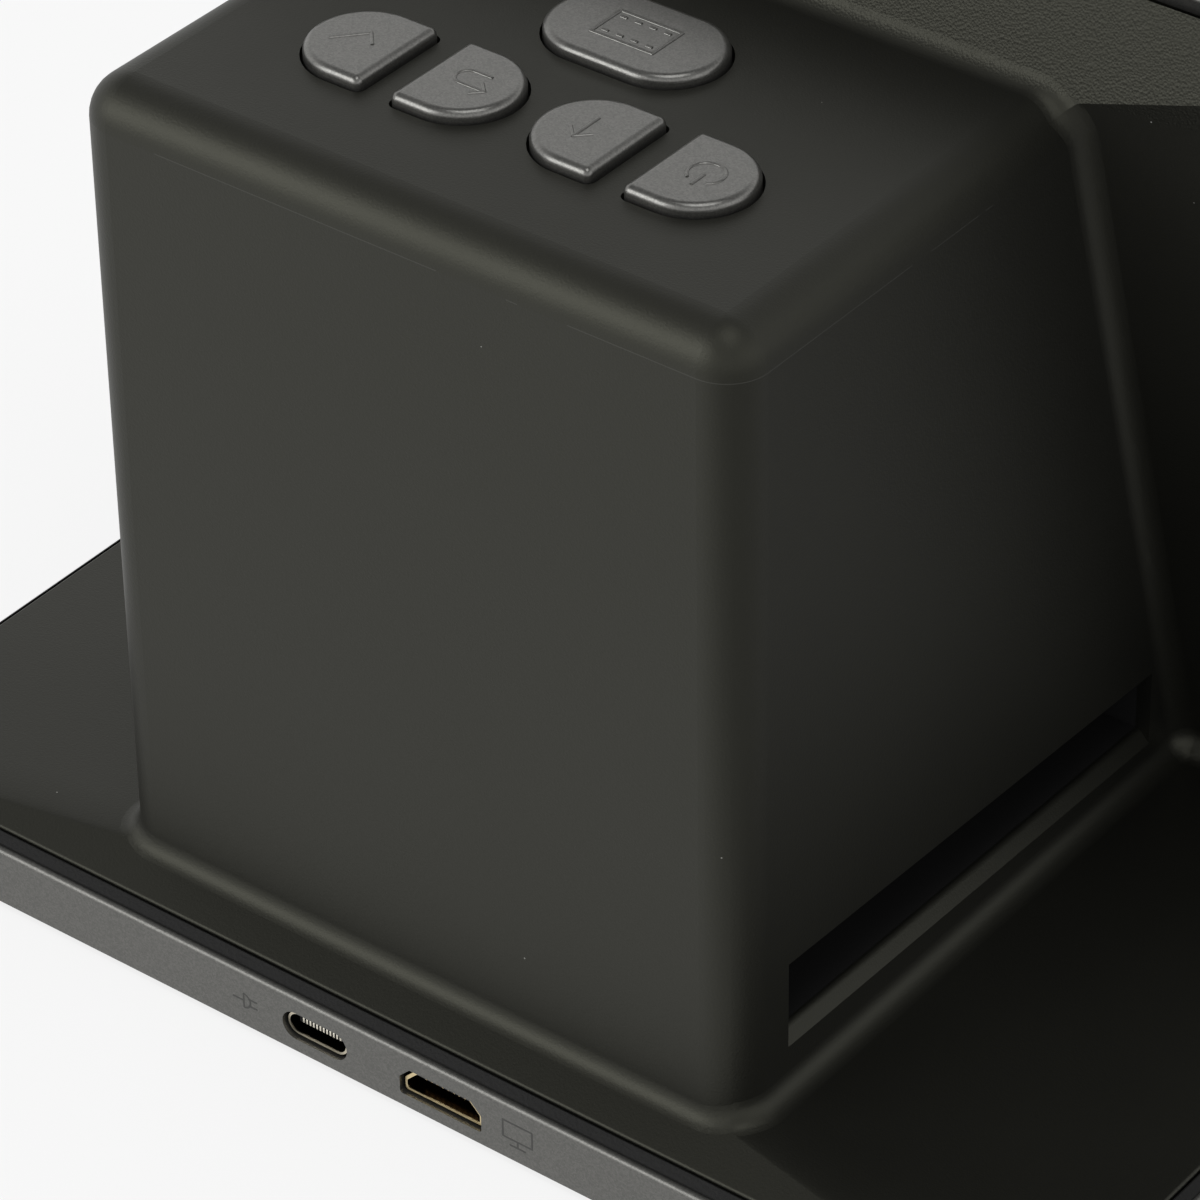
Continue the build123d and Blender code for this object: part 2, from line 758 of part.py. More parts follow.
with BuildPart() as hdmi_tongue:
    with BuildSketch(port_floor):
        with Locations((-hdmi_x, port_z)):
            Rectangle(hdmi_tongue_width, hdmi_tongue_height)
    extrude(amount=port_depth - 2.2)
mark(hdmi_tongue.part, "hdmi_tongue")

with BuildPart() as card_socket:
    mouth_x = base_width / 2 - band_wall - lip_wall - 0.3
    with BuildSketch(Plane.YZ.offset(mouth_x - card_socket_length)):
        with Locations((card_y, port_z)):
            Rectangle(card_width + 1.2, card_height + 0.2)
    extrude(amount=card_socket_length)
    with BuildSketch(Plane.YZ.offset(mouth_x - card_socket_length + 2)):
        with Locations((card_y, port_z)):
            Rectangle(card_width - 0.8, card_height - 0.6)
    extrude(amount=card_socket_length, mode=Mode.SUBTRACT)
mark(card_socket.part, "card_socket")


# Film channel: a duct from slot to slot, in two halves, with a window in its floor and one in its roof.
with BuildPart() as channel:
    with BuildSketch(Plane.YZ.offset(-inner_half)):
        with Locations(((slot_rear_y + slot_front_y) / 2, (channel_bottom + channel_top) / 2)):
            Rectangle(slot_length + 2 * channel_wall, channel_top - channel_bottom)
        with BuildLine():
            Polyline(*slot_points, close=True)
        make_face(mode=Mode.SUBTRACT)
    extrude(amount=2 * inner_half)
    with BuildSketch(Plane.XY.offset(channel_bottom)):
        with Locations((0, optic_y)):
            Rectangle(window_width, window_depth)
    extrude(amount=channel_top - channel_bottom, mode=Mode.SUBTRACT)

with BuildPart() as channel_floor:
    add(channel.part)
    split(bisect_by=Plane.XY.offset(channel_split), keep=Keep.BOTTOM)
mark(channel_floor.part, "channel_floor")

with BuildPart() as channel_roof:
    add(channel.part)
    split(bisect_by=Plane.XY.offset(channel_split), keep=Keep.TOP)
mark(channel_roof.part, "channel_roof")

with BuildPart() as diffuser:
    with BuildSketch(Plane.XY.offset(channel_bottom)):
        with Locations((0, optic_y)):
            Rectangle(window_width - 0.2, window_depth - 0.2)
    extrude(amount=diffuser_thickness)
mark(diffuser.part, "diffuser")

with BuildPart() as dust_glass:
    with BuildSketch(Plane.XY.offset(channel_top - glass_thickness)):
        with Locations((0, optic_y)):
            Rectangle(window_width - 0.2, window_depth - 0.2)
    extrude(amount=glass_thickness)
mark(dust_glass.part, "dust_glass")

with BuildPart() as light_box:
    with BuildSketch(Plane.XY.offset(light_box_z)):
        with Locations((0, optic_y)):
            Rectangle(light_box_width, light_box_depth)
            Rectangle(
                light_box_width - 2 * light_box_wall, light_box_depth - 2 * light_box_wall, mode=Mode.SUBTRACT
            )
    extrude(amount=light_box_height)
    with BuildSketch(Plane.XY.offset(light_box_top - 1.2)):
        with Locations((0, optic_y)):
            Rectangle(light_box_width, light_box_depth)
            Rectangle(window_width - 4, window_depth - 4, mode=Mode.SUBTRACT)
    extrude(amount=1.2)
mark(light_box.part, "light_box")

with BuildPart() as backlight_board:
    with BuildSketch(Plane.XY.offset(led_board_z)):
        with Locations((0, optic_y)):
            Rectangle(light_box_width, light_box_depth)
    extrude(amount=board_thickness)
mark(backlight_board.part, "backlight_board")

with BuildPart() as backlight_leds:
    with BuildSketch(Plane.XY.offset(light_box_z)):
        with Locations((0, optic_y)):
            with GridLocations(led_pitch_x, led_pitch_y, 4, 3):
                Rectangle(led_size, led_size)
    extrude(amount=led_height)
mark(backlight_leds.part, "backlight_leds")

shroud_top_z = channel_top + shroud_height
with BuildPart() as light_shroud:
    for margin, mode in ((shroud_margin, Mode.ADD), (shroud_margin - shroud_wall, Mode.SUBTRACT)):
        with BuildSketch(Plane.XY.offset(channel_top)):
            with Locations((0, optic_y)):
                Rectangle(window_width + 2 * margin, window_depth + 2 * margin)
        extrude(amount=shroud_height, taper=shroud_taper, mode=mode)
mark(light_shroud.part, "light_shroud")

holder_z = shroud_top_z + holder_flange_thickness
with BuildPart() as lens_holder:
    with BuildSketch(Plane.XY.offset(shroud_top_z)):
        with Locations((0, optic_y)):
            RectangleRounded(holder_flange_width, holder_flange_depth, holder_flange_corner)
    extrude(amount=holder_flange_thickness)
    with BuildSketch(Plane.XY.offset(holder_z)):
        with Locations((0, optic_y)):
            Circle(holder_radius)
    extrude(amount=holder_height)
    with BuildSketch(Plane.XY.offset(shroud_top_z)):
        with Locations((0, optic_y)):
            Circle(lens_radius + running_fit)
    extrude(amount=holder_flange_thickness + holder_height, mode=Mode.SUBTRACT)
mark(lens_holder.part, "lens_holder")

lens_z = shroud_top_z - lens_drop
with BuildPart() as lens_barrel:
    with BuildSketch(Plane.XY.offset(lens_z)):
        with Locations((0, optic_y)):
            Circle(lens_radius)
            Circle(lens_radius - lens_wall, mode=Mode.SUBTRACT)
    extrude(amount=lens_length)
mark(lens_barrel.part, "lens_barrel")

for name, glass_z in (("front_lens", lens_z + 0.6), ("rear_lens", lens_z + lens_length - 0.6 - lens_glass)):
    with BuildPart() as lens:
        with BuildSketch(Plane.XY.offset(glass_z)):
            with Locations((0, optic_y)):
                Circle(lens_radius - lens_wall - 0.02)
        extrude(amount=lens_glass)
        chamfer(lens.faces().filter_by(GeomType.PLANE).edges(), length=lens_edge)
    mark(lens.part, name)

sensor_board_z = holder_z + holder_height
with BuildPart() as sensor_board:
    with BuildSketch(Plane.XY.offset(sensor_board_z)):
        with Locations((0, optic_y)):
            Rectangle(sensor_board_size, sensor_board_size)
    extrude(amount=board_thickness)
mark(sensor_board.part, "sensor_board")

with BuildPart() as image_sensor:
    with BuildSketch(Plane.XY.offset(sensor_board_z - sensor_height)):
        with Locations((0, optic_y)):
            Rectangle(sensor_width, sensor_depth)
    extrude(amount=sensor_height)
mark(image_sensor.part, "image_sensor")


# Buttons: a metallic cap with a flange under the roof, a plunger, and a switch on the board below.
for name, (x, y, outline) in button_places.items():
    with BuildPart() as cap:
        with BuildSketch(Plane.XY.offset(cap_bottom)):
            add(outline(0))
        extrude(amount=top_z + button_proud - cap_bottom)
        fillet(cap.faces().sort_by(Axis.Z)[-1].edges(), radius=button_edge)
        with BuildSketch(Plane.XY.offset(cap_bottom)):
            add(outline(flange_width))
        extrude(amount=flange_thickness)
    mark(cap.part, f"button_{name}")
    with BuildPart() as plunger:
        with BuildSketch(Plane.XY.offset(switch_top - switch_socket + button_travel + 0.1)):
            with Locations((x, y)):
                Circle(plunger_radius)
        extrude(amount=cap_bottom - switch_top + switch_socket - button_travel - 0.1)
    mark(plunger.part, f"plunger_{name}")

with BuildPart() as key_switches:
    with BuildSketch(Plane.XY.offset(button_board_top)):
        with Locations(*[(x, y) for x, y, _ in button_places.values()]):
            Rectangle(switch_size, switch_size)
    extrude(amount=switch_height)
    with BuildSketch(Plane.XY.offset(switch_top)):
        with Locations(*[(x, y) for x, y, _ in button_places.values()]):
            Circle(plunger_radius + running_fit)
    extrude(amount=-switch_socket, mode=Mode.SUBTRACT)
mark(key_switches.part, "key_switches")

with BuildPart() as button_board:
    with BuildSketch(Plane.XY.offset(button_board_z)):
        with Locations((0, button_board_y)):
            Rectangle(button_board_width, button_board_depth)
        with Locations(*button_post_places):
            Circle(screw_radius + screw_fit, mode=Mode.SUBTRACT)
    extrude(amount=board_thickness)
mark(button_board.part, "button_board")
mark(board_screws(button_post_places, button_board_z, -1), "button_board_screws")


# Front cover: the plate that closes the housing behind the display.
with BuildPart() as front_cover:
    with BuildSketch(screen.offset(-front_cover_thickness)):
        with Locations((0, -(front_cover_top + front_cover_bottom) / 2)):
            RectangleRounded(front_cover_width, front_cover_bottom - front_cover_top, 2)
        with Locations(*front_screw_places):
            Circle(screw_radius + screw_fit, mode=Mode.SUBTRACT)
    extrude(amount=front_cover_thickness)
    with BuildSketch(screen.offset(-screw_head_height - 0.1)):
        with Locations(*front_screw_places):
            Circle(screw_head_radius + cover_clearance)
    extrude(amount=screw_head_height + 0.2, mode=Mode.SUBTRACT)
mark(front_cover.part, "front_cover")

with BuildPart() as front_cover_screws:
    with BuildSketch(screen.offset(-screw_head_height - 0.1)):
        with Locations(*front_screw_places):
            Circle(screw_head_radius)
    extrude(amount=screw_head_height)
    with BuildSketch(screen.offset(-screw_head_height - 0.1)):
        with Locations(*front_screw_places):
            Circle(screw_radius)
    extrude(amount=-board_screw_length)
mark(front_cover_screws.part, "front_cover_screws")

with BuildPart() as display_bumpers:
    with BuildSketch(screen):
        with Locations((-bumper_x, -bumper_drop), (bumper_x, -bumper_drop)):
            Circle(bumper_radius)
    extrude(amount=bumper_thickness)
mark(display_bumpers.part, "display_bumpers")


# Display: frame, glass, panel and back cover.
def panel_sketch(depth, shrink, radius):
    with BuildSketch(screen.offset(depth), mode=Mode.PRIVATE) as outline:
        with Locations((0, panel_middle)):
            RectangleRounded(display_width - 2 * shrink, display_height - 2 * shrink, radius)
    return outline.sketch


def hinge_pocket(depth, low, top):
    """Room for the hinges along the upper edge of the display, from low to top up the slope."""
    with BuildSketch(screen.offset(depth), mode=Mode.PRIVATE) as outline:
        with Locations(*[(x, (low + top) / 2) for x in hinge_places.values()]):
            Rectangle(2 * (hinge_half + notch_clearance), top - low)
    return outline.sketch


with BuildPart() as display_frame:
    extrude(panel_sketch(panel_rear, 0, display_radius), amount=display_thickness)
    outer_edges = display_frame.faces().filter_by(lambda f: abs(f.normal_at().dot(outward)) > 0.99).edges()
    fillet(outer_edges, radius=display_edge)
    rear_room = panel_sketch(panel_rear, frame_wall, display_radius - frame_wall)
    extrude(rear_room, amount=glass_rear - 1.2 - panel_rear, mode=Mode.SUBTRACT)
    window = panel_sketch(panel_rear, frame_wall + frame_ledge, frame_window_corner)
    extrude(window, amount=display_thickness, mode=Mode.SUBTRACT)
    glass_seat = panel_sketch(glass_rear, glass_rim, display_radius - glass_rim)
    extrude(glass_seat, amount=display_thickness, mode=Mode.SUBTRACT)
    pocket = hinge_pocket(panel_rear + pocket_skin, -leaf_top, pocket_top)
    pocket_depth = hinge_axis_depth + knuckle_radius + 0.4 - pocket_skin
    extrude(pocket, amount=pocket_depth, mode=Mode.SUBTRACT)
mark(display_frame.part, "display_frame")

with BuildPart() as display_glass:
    glass_inset = glass_rim + cover_clearance
    extrude(panel_sketch(glass_rear, glass_inset, display_radius - glass_inset), amount=display_glass_thickness)
mark(display_glass.part, "display_glass")

with BuildPart() as lcd_panel:
    with BuildSketch(screen.offset(lcd_rear)):
        with Locations((0, panel_middle)):
            Rectangle(lcd_width, lcd_height)
    extrude(amount=lcd_thickness)
mark(lcd_panel.part, "lcd_panel")

driver_board_rear = panel_rear + back_cover_thickness + driver_board_gap
with BuildPart() as display_back_cover:
    back_inset = frame_wall + cover_clearance
    extrude(panel_sketch(panel_rear, back_inset, display_radius - back_inset), amount=back_cover_thickness)
    with BuildSketch(screen.offset(panel_rear + back_cover_thickness)):
        with Locations(*[(x, -hinge_screw_drop) for x in hinge_places.values()]):
            Circle(post_radius)
    extrude(amount=moving_leaf_rear - panel_rear - back_cover_thickness)
    with BuildSketch(screen.offset(panel_rear + back_cover_thickness)):
        with Locations((0, panel_middle)):
            with GridLocations(driver_board_width - 6, driver_board_height - 6, 2, 2):
                Circle(post_radius)
    extrude(amount=driver_board_gap)
    with BuildSketch(screen.offset(panel_rear)):
        with Locations(*[(x, -hinge_screw_drop) for x in hinge_places.values()]):
            Circle(screw_radius + screw_fit)
    extrude(amount=moving_leaf_rear - panel_rear, mode=Mode.SUBTRACT)
    with BuildSketch(screen.offset(panel_rear)):
        with Locations(*[(x, -hinge_screw_drop) for x in hinge_places.values()]):
            Circle(screw_head_radius + cover_clearance)
    extrude(amount=screw_head_height, mode=Mode.SUBTRACT)
    window = hinge_pocket(panel_rear, -leaf_top - leaf_thickness - 0.6, display_overhang)
    extrude(window, amount=back_cover_thickness, mode=Mode.SUBTRACT)
mark(display_back_cover.part, "display_back_cover")

with BuildPart() as driver_board:
    with BuildSketch(screen.offset(driver_board_rear)):
        with Locations((0, panel_middle)):
            Rectangle(driver_board_width, driver_board_height)
    extrude(amount=driver_board_thickness)
mark(driver_board.part, "driver_board")


# Display hinges: a fixed leaf on the housing, a moving leaf in the display, and the pin.
def hinge_plane(x):
    """Plane across the hinge axis: local X outward from the housing, local Y down the slope."""
    return Plane(origin=(x, groove.Y, groove.Z), x_dir=tuple(outward), z_dir=(1, 0, 0))


for side, x in hinge_places.items():
    with BuildPart() as fixed_leaf:
        with BuildSketch(hinge_plane(x - fixed_knuckle / 2)):
            with Locations((hinge_depth, hinge_axis_drop)):
                Circle(knuckle_radius)
            web_bottom = leaf_top + leaf_thickness
            with Locations((hinge_depth, (hinge_axis_drop + web_bottom) / 2)):
                Rectangle(web_thickness, web_bottom - hinge_axis_drop)
            arm_reach = hinge_depth + web_thickness / 2
            with Locations(((arm_reach - leaf_recess) / 2, leaf_top + leaf_thickness / 2)):
                Rectangle(arm_reach + leaf_recess, leaf_thickness)
        extrude(amount=fixed_knuckle)
        with BuildSketch(screen.offset(-leaf_recess)):
            with Locations((x, -(leaf_top + leaf_bottom) / 2)):
                Rectangle(leaf_width, leaf_bottom - leaf_top)
        extrude(amount=leaf_thickness)
        with BuildSketch(hinge_plane(x - fixed_knuckle / 2)):
            with Locations((hinge_depth, hinge_axis_drop)):
                Circle(pin_radius + running_fit)
        extrude(amount=fixed_knuckle, mode=Mode.SUBTRACT)
        with BuildSketch(screen.offset(-leaf_recess)):
            with Locations((x, -hinge_screw_drop)):
                Circle(screw_radius + screw_fit)
        extrude(amount=leaf_thickness, mode=Mode.SUBTRACT)
    mark(fixed_leaf.part, f"hinge_fixed_leaf_{side}")

    with BuildPart() as moving_leaf:
        with BuildSketch(screen.offset(moving_leaf_rear)):
            with Locations((x, -(hinge_axis_drop + leaf_bottom) / 2)):
                Rectangle(2 * hinge_half, leaf_bottom - hinge_axis_drop)
            with Locations((x, 0)):
                cut_width = fixed_knuckle + 2 * knuckle_gap
                Rectangle(cut_width, 2 * (leaf_top + leaf_thickness + 0.6), mode=Mode.SUBTRACT)
            with Locations((x, -hinge_screw_drop)):
                Circle(screw_radius + screw_fit, mode=Mode.SUBTRACT)
        extrude(amount=leaf_thickness)
        for start in (x - hinge_half, x + hinge_half - moving_knuckle):
            with BuildSketch(hinge_plane(start)):
                with Locations((hinge_depth, hinge_axis_drop)):
                    Circle(knuckle_radius)
            extrude(amount=moving_knuckle)
        with BuildSketch(hinge_plane(x - hinge_half)):
            with Locations((hinge_depth, hinge_axis_drop)):
                Circle(pin_radius + running_fit)
        extrude(amount=2 * hinge_half, mode=Mode.SUBTRACT)
    mark(moving_leaf.part, f"hinge_moving_leaf_{side}")

    with BuildPart() as hinge_pin:
        with BuildSketch(hinge_plane(x - hinge_half)):
            with Locations((hinge_depth, hinge_axis_drop)):
                Circle(pin_radius)
        extrude(amount=2 * hinge_half)
    mark(hinge_pin.part, f"hinge_pin_{side}")

with BuildPart() as housing_hinge_screws:
    places = [(x, -hinge_screw_drop) for x in hinge_places.values()]
    head_base = leaf_thickness - leaf_recess
    with BuildSketch(screen.offset(head_base)):
        with Locations(*places):
            Circle(screw_head_radius)
    extrude(amount=0.5)
    with BuildSketch(screen.offset(head_base)):
        with Locations(*places):
            Circle(screw_radius)
    extrude(amount=-leaf_thickness - 1.6)
mark(housing_hinge_screws.part, "housing_hinge_screws")

with BuildPart() as display_hinge_screws:
    with BuildSketch(screen.offset(panel_rear + 0.1)):
        with Locations(*places):
            Circle(screw_head_radius)
    extrude(amount=screw_head_height - 0.1)
    with BuildSketch(screen.offset(panel_rear + 0.1)):
        with Locations(*places):
            Circle(screw_radius)
    extrude(amount=moving_leaf_rear + leaf_thickness - panel_rear - 0.2)
mark(display_hinge_screws.part, "display_hinge_screws")
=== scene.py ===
import bmesh
import bpy
from math import atan2, cos, pi, radians, sin
from mathutils import Matrix, Vector


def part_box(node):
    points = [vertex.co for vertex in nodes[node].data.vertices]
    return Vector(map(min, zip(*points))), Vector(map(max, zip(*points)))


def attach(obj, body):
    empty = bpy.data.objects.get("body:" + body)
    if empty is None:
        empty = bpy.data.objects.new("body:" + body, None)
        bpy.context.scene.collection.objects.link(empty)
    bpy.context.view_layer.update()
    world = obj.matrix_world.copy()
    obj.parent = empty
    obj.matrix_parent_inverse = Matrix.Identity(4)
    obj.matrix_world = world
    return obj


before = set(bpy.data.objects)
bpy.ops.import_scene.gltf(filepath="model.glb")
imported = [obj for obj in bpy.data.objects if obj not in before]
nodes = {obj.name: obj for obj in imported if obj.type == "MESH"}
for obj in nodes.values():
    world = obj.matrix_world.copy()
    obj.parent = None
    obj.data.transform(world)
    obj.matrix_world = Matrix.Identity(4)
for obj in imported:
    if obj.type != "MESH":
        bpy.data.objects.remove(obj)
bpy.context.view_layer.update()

# Studio: a pale table top without an end, a white surround with a greyer ceiling, and three
# soft lamps. The surround is white to the eye and in reflections, and dimmer as a light.


def linear(text):
    """sRGB hex to linear RGBA."""
    parts = [int(text[i : i + 2], 16) / 255 for i in (1, 3, 5)]
    return [p / 12.92 if p <= 0.04045 else ((p + 0.055) / 1.055) ** 2.4 for p in parts] + [1.0]


def add(tree, kind, settings=None, links=None):
    """One node with its settings, and its inputs linked to (node, output).

    In a Mix node, inputs 2 and 3 are the numbers, 6 and 7 the colours, and output 2 the colour.
    """
    node = tree.nodes.new(kind)
    for name, value in (settings or {}).items():
        if isinstance(name, str) and hasattr(node, name):
            setattr(node, name, value)
        else:
            node.inputs[name].default_value = value
    for name, (source, output) in (links or {}).items():
        tree.links.new(source.outputs[output], node.inputs[name])
    return node


def start_material(name):
    """A material without nodes, and its tree."""
    material = bpy.data.materials.new(name)
    material.use_nodes = True
    material.node_tree.nodes.clear()
    return material, material.node_tree


def make_piece(bm, name, material):
    """The object of a finished bmesh, in one material."""
    mesh = bpy.data.meshes.new(name)
    bm.to_mesh(mesh)
    bm.free()
    mesh.materials.append(material)
    piece = bpy.data.objects.new(name, mesh)
    bpy.context.scene.collection.objects.link(piece)
    return piece


world = bpy.data.worlds.new("studio_surround")
world.use_nodes = True
bpy.context.scene.world = world
tree = world.node_tree
tree.nodes.clear()
path = add(tree, "ShaderNodeLightPath")
seen = add(
    tree,
    "ShaderNodeMath",
    {"operation": "MAXIMUM"},
    {0: (path, "Is Camera Ray"), 1: (path, "Is Glossy Ray")},
)
seen = add(
    tree,
    "ShaderNodeMath",
    {"operation": "MAXIMUM"},
    {0: (seen, 0), 1: (path, "Is Transmission Ray")},
)
plain = add(tree, "ShaderNodeBackground", {"Color": linear("#ffffff"), "Strength": 0.5})
facing = add(tree, "ShaderNodeTexCoord")
axes = add(tree, "ShaderNodeSeparateXYZ", {}, {0: (facing, "Generated")})
# The ceiling darkens from 31 to 58 degrees up.
ceiling = add(
    tree,
    "ShaderNodeMapRange",
    {"From Min": 0.52, "From Max": 0.85, "To Min": 1.0, "To Max": 0.15},
    {0: (axes, "Z")},
)
white = add(
    tree, "ShaderNodeBackground", {"Color": linear("#ffffff")}, {"Strength": (ceiling, 0)}
)
mix = add(tree, "ShaderNodeMixShader", {}, {0: (seen, 0), 1: (plain, 0), 2: (white, 0)})
add(tree, "ShaderNodeOutputWorld", {}, {"Surface": (mix, 0)})

table_half = 3.0
table_glow = 0.8
material, tree = start_material("white_table_paint")
path = add(tree, "ShaderNodeLightPath")
seen = add(
    tree,
    "ShaderNodeMath",
    {"operation": "MAXIMUM"},
    {0: (path, "Is Camera Ray"), 1: (path, "Is Glossy Ray")},
)
share = add(tree, "ShaderNodeMath", {"operation": "MULTIPLY", 1: table_glow}, {0: (seen, 0)})
spot = add(tree, "ShaderNodeTexCoord")
axes = add(tree, "ShaderNodeSeparateXYZ", {}, {0: (spot, "Object")})
# In reflections the table is greyer beyond the object's left side, where the room is darker.
fade = add(
    tree,
    "ShaderNodeMapRange",
    {"From Min": -0.10, "From Max": -0.04, "To Min": 0.44, "To Max": 0.94},
    {0: (axes, "X")},
)
level = add(
    tree, "ShaderNodeMath", {"operation": "MAXIMUM"}, {0: (path, "Is Camera Ray"), 1: (fade, 0)}
)
paint = add(tree, "ShaderNodeBsdfDiffuse", {"Color": linear("#f0f0f0")})
glow = add(tree, "ShaderNodeEmission", {"Color": linear("#ffffff")}, {"Strength": (level, 0)})
mix = add(tree, "ShaderNodeMixShader", {}, {0: (share, 0), 1: (paint, 0), 2: (glow, 0)})
add(tree, "ShaderNodeOutputMaterial", {}, {"Surface": (mix, 0)})
bm = bmesh.new()
bmesh.ops.create_grid(bm, x_segments=1, y_segments=1, size=table_half)
table_top = make_piece(bm, "table_top", material)

lamp_aim = Vector((0.0, 0.0, 0.06))
for name, place, size, power in (
    ("rear_softbox", (0.70, 1.10, 0.62), 0.8, 6.5),
    ("top_softbox", (-0.30, 0.20, 1.45), 0.8, 5.0),
    ("side_softbox", (-1.3, -0.1, 0.7), 0.8, 0.6),
):
    lamp = bpy.data.lights.new(name, "AREA")
    lamp.shape = "SQUARE"
    lamp.size = size
    lamp.energy = power
    holder = bpy.data.objects.new(name, lamp)
    bpy.context.scene.collection.objects.link(holder)
    holder.location = place
    holder.rotation_euler = (Vector(place) - lamp_aim).to_track_quat("Z", "Y").to_euler()

# Camera: behind the object, on its left and above, with a long lens from about 0.7 m.
# The photo is a crop, so its middle lies beside the lens's axis. Focal length and axis in pixels.
photo_pixels = 1200
focal_pixels = 5931.0
axis_across, axis_down = 741.8, 532.3
camera_place = (-0.3431, 0.4562, 0.4448)
azimuth = radians(216.7)
elevation = radians(35.15)
back = Vector((sin(azimuth) * cos(elevation), -cos(azimuth) * cos(elevation), sin(elevation)))
right = Vector((cos(azimuth), sin(azimuth), 0.0))
up = back.cross(right)
lens = bpy.data.cameras.new("camera")
lens.sensor_width = 36.0
lens.lens = focal_pixels / photo_pixels * lens.sensor_width
lens.shift_x = (photo_pixels / 2 - axis_across) / photo_pixels
lens.shift_y = (axis_down - photo_pixels / 2) / photo_pixels
lens.clip_start = 0.01
camera = bpy.data.objects.new("camera", lens)
bpy.context.scene.collection.objects.link(camera)
turn = Matrix((right, up, back)).transposed().to_4x4()
camera.matrix_world = Matrix.Translation(camera_place) @ turn
bpy.context.scene.camera = camera
bpy.context.scene.view_settings.view_transform = "Standard"

# Upper cover: one moulding of black ABS, spark-eroded in the tool to a fine matt grain.
# The display housing's slope has a coarser, leathery grain. A faint parting line runs round the
# tower, drawn in a lighter tone as a painted highlight of its ridge, and there is a little dust.
slope_foot = 0.1168
parting_height = 0.11112
parting_half = 0.00006
parting_front = 0.012
parting_wiped = 0.44
grain_depth, slope_grain_depth = 0.28, 0.17
speck_radius = 0.026
speck_limit = 0.90
roughness_least, roughness_spread = 0.43, 0.10


def coat(names, material):
    """Gives CAD nodes this material."""
    for name in names:
        for slot in nodes[name].material_slots:
            slot.material = material


material, tree = start_material("moulded_abs_fine_grain")
place = add(tree, "ShaderNodeTexCoord")
axes = add(tree, "ShaderNodeSeparateXYZ", {}, {0: (place, "Object")})
# Both grains are about 0.3 mm across, a little coarser than the real ones so that they show.
grain = add(
    tree,
    "ShaderNodeTexNoise",
    {"Scale": 3300.0, "Detail": 3.0, "Roughness": 0.6},
    {"Vector": (place, "Object")},
)
leather = add(tree, "ShaderNodeTexVoronoi", {"Scale": 3300.0}, {"Vector": (place, "Object")})
above = add(
    tree, "ShaderNodeMath", {"operation": "GREATER_THAN", 1: slope_foot}, {0: (axes, "Z")}
)
relief = add(
    tree,
    "ShaderNodeMix",
    {"data_type": "FLOAT"},
    {0: (above, 0), 2: (grain, 0), 3: (leather, "Distance")},
)
depth = add(
    tree,
    "ShaderNodeMath",
    {"operation": "MULTIPLY_ADD", 1: slope_grain_depth, 2: grain_depth},
    {0: (above, 0)},
)
bump = add(
    tree, "ShaderNodeBump", {"Distance": 0.00011}, {"Height": (relief, 0), "Strength": (depth, 0)}
)
cloud = add(
    tree, "ShaderNodeTexNoise", {"Scale": 28.0, "Detail": 4.0}, {"Vector": (place, "Object")}
)
tone = add(
    tree,
    "ShaderNodeMix",
    {"data_type": "RGBA", 6: linear("#080808"), 7: linear("#0d0d0c")},
    {0: (cloud, 0)},
)
# Parting line 0.1 mm wide, 5.3 mm below the tower's top, broken where it has been wiped smooth. Its
# lighter tone is a painted highlight, standing in for the light its small ridge catches.
level = add(
    tree,
    "ShaderNodeMath",
    {"operation": "COMPARE", 1: parting_height, 2: parting_half},
    {0: (axes, "Z")},
)
behind = add(
    tree, "ShaderNodeMath", {"operation": "GREATER_THAN", 1: parting_front}, {0: (axes, "Y")}
)
worn = add(
    tree, "ShaderNodeTexNoise", {"Scale": 90.0, "Detail": 2.0}, {"Vector": (place, "Object")}
)
kept = add(
    tree, "ShaderNodeMath", {"operation": "GREATER_THAN", 1: parting_wiped}, {0: (worn, 0)}
)
line = add(tree, "ShaderNodeMath", {"operation": "MULTIPLY"}, {0: (level, 0), 1: (behind, 0)})
line = add(tree, "ShaderNodeMath", {"operation": "MULTIPLY"}, {0: (line, 0), 1: (kept, 0)})
# Painted highlight: the parting line is mixed in as a lighter grey.
parting_highlighted = add(
    tree,
    "ShaderNodeMix",
    {"data_type": "RGBA", 7: linear("#2c2c2b")},
    {0: (line, 0), 6: (tone, 2)},
)
# Dust: pale specks 0.2 mm across, in one of ten cells of 4 mm. The radius is a share of a cell.
speck = add(
    tree,
    "ShaderNodeTexVoronoi",
    {"Scale": 260.0, "Randomness": 1.0},
    {"Vector": (place, "Object")},
)
near = add(
    tree, "ShaderNodeMath", {"operation": "LESS_THAN", 1: speck_radius}, {0: (speck, "Distance")}
)
chance = add(tree, "ShaderNodeSeparateColor", {}, {0: (speck, "Color")})
rare = add(
    tree, "ShaderNodeMath", {"operation": "GREATER_THAN", 1: speck_limit}, {0: (chance, 0)}
)
dust = add(tree, "ShaderNodeMath", {"operation": "MULTIPLY"}, {0: (near, 0), 1: (rare, 0)})
colour = add(
    tree,
    "ShaderNodeMix",
    {"data_type": "RGBA", 7: linear("#8a8a86")},
    {0: (dust, 0), 6: (parting_highlighted, 2)},
)
gloss = add(
    tree,
    "ShaderNodeMath",
    {"operation": "MULTIPLY_ADD", 1: roughness_spread, 2: roughness_least},
    {0: (cloud, 0)},
)
plastic = add(
    tree,
    "ShaderNodeBsdfPrincipled",
    {"IOR": 1.48, "Specular Tint": linear("#ffffe8")},
    {"Base Color": (colour, 2), "Roughness": (gloss, 0), "Normal": (bump, 0)},
)
add(tree, "ShaderNodeOutputMaterial", {}, {"Surface": (plastic, 0)})
coat(["top_cover", "front_cover", "display_back_cover"], material)

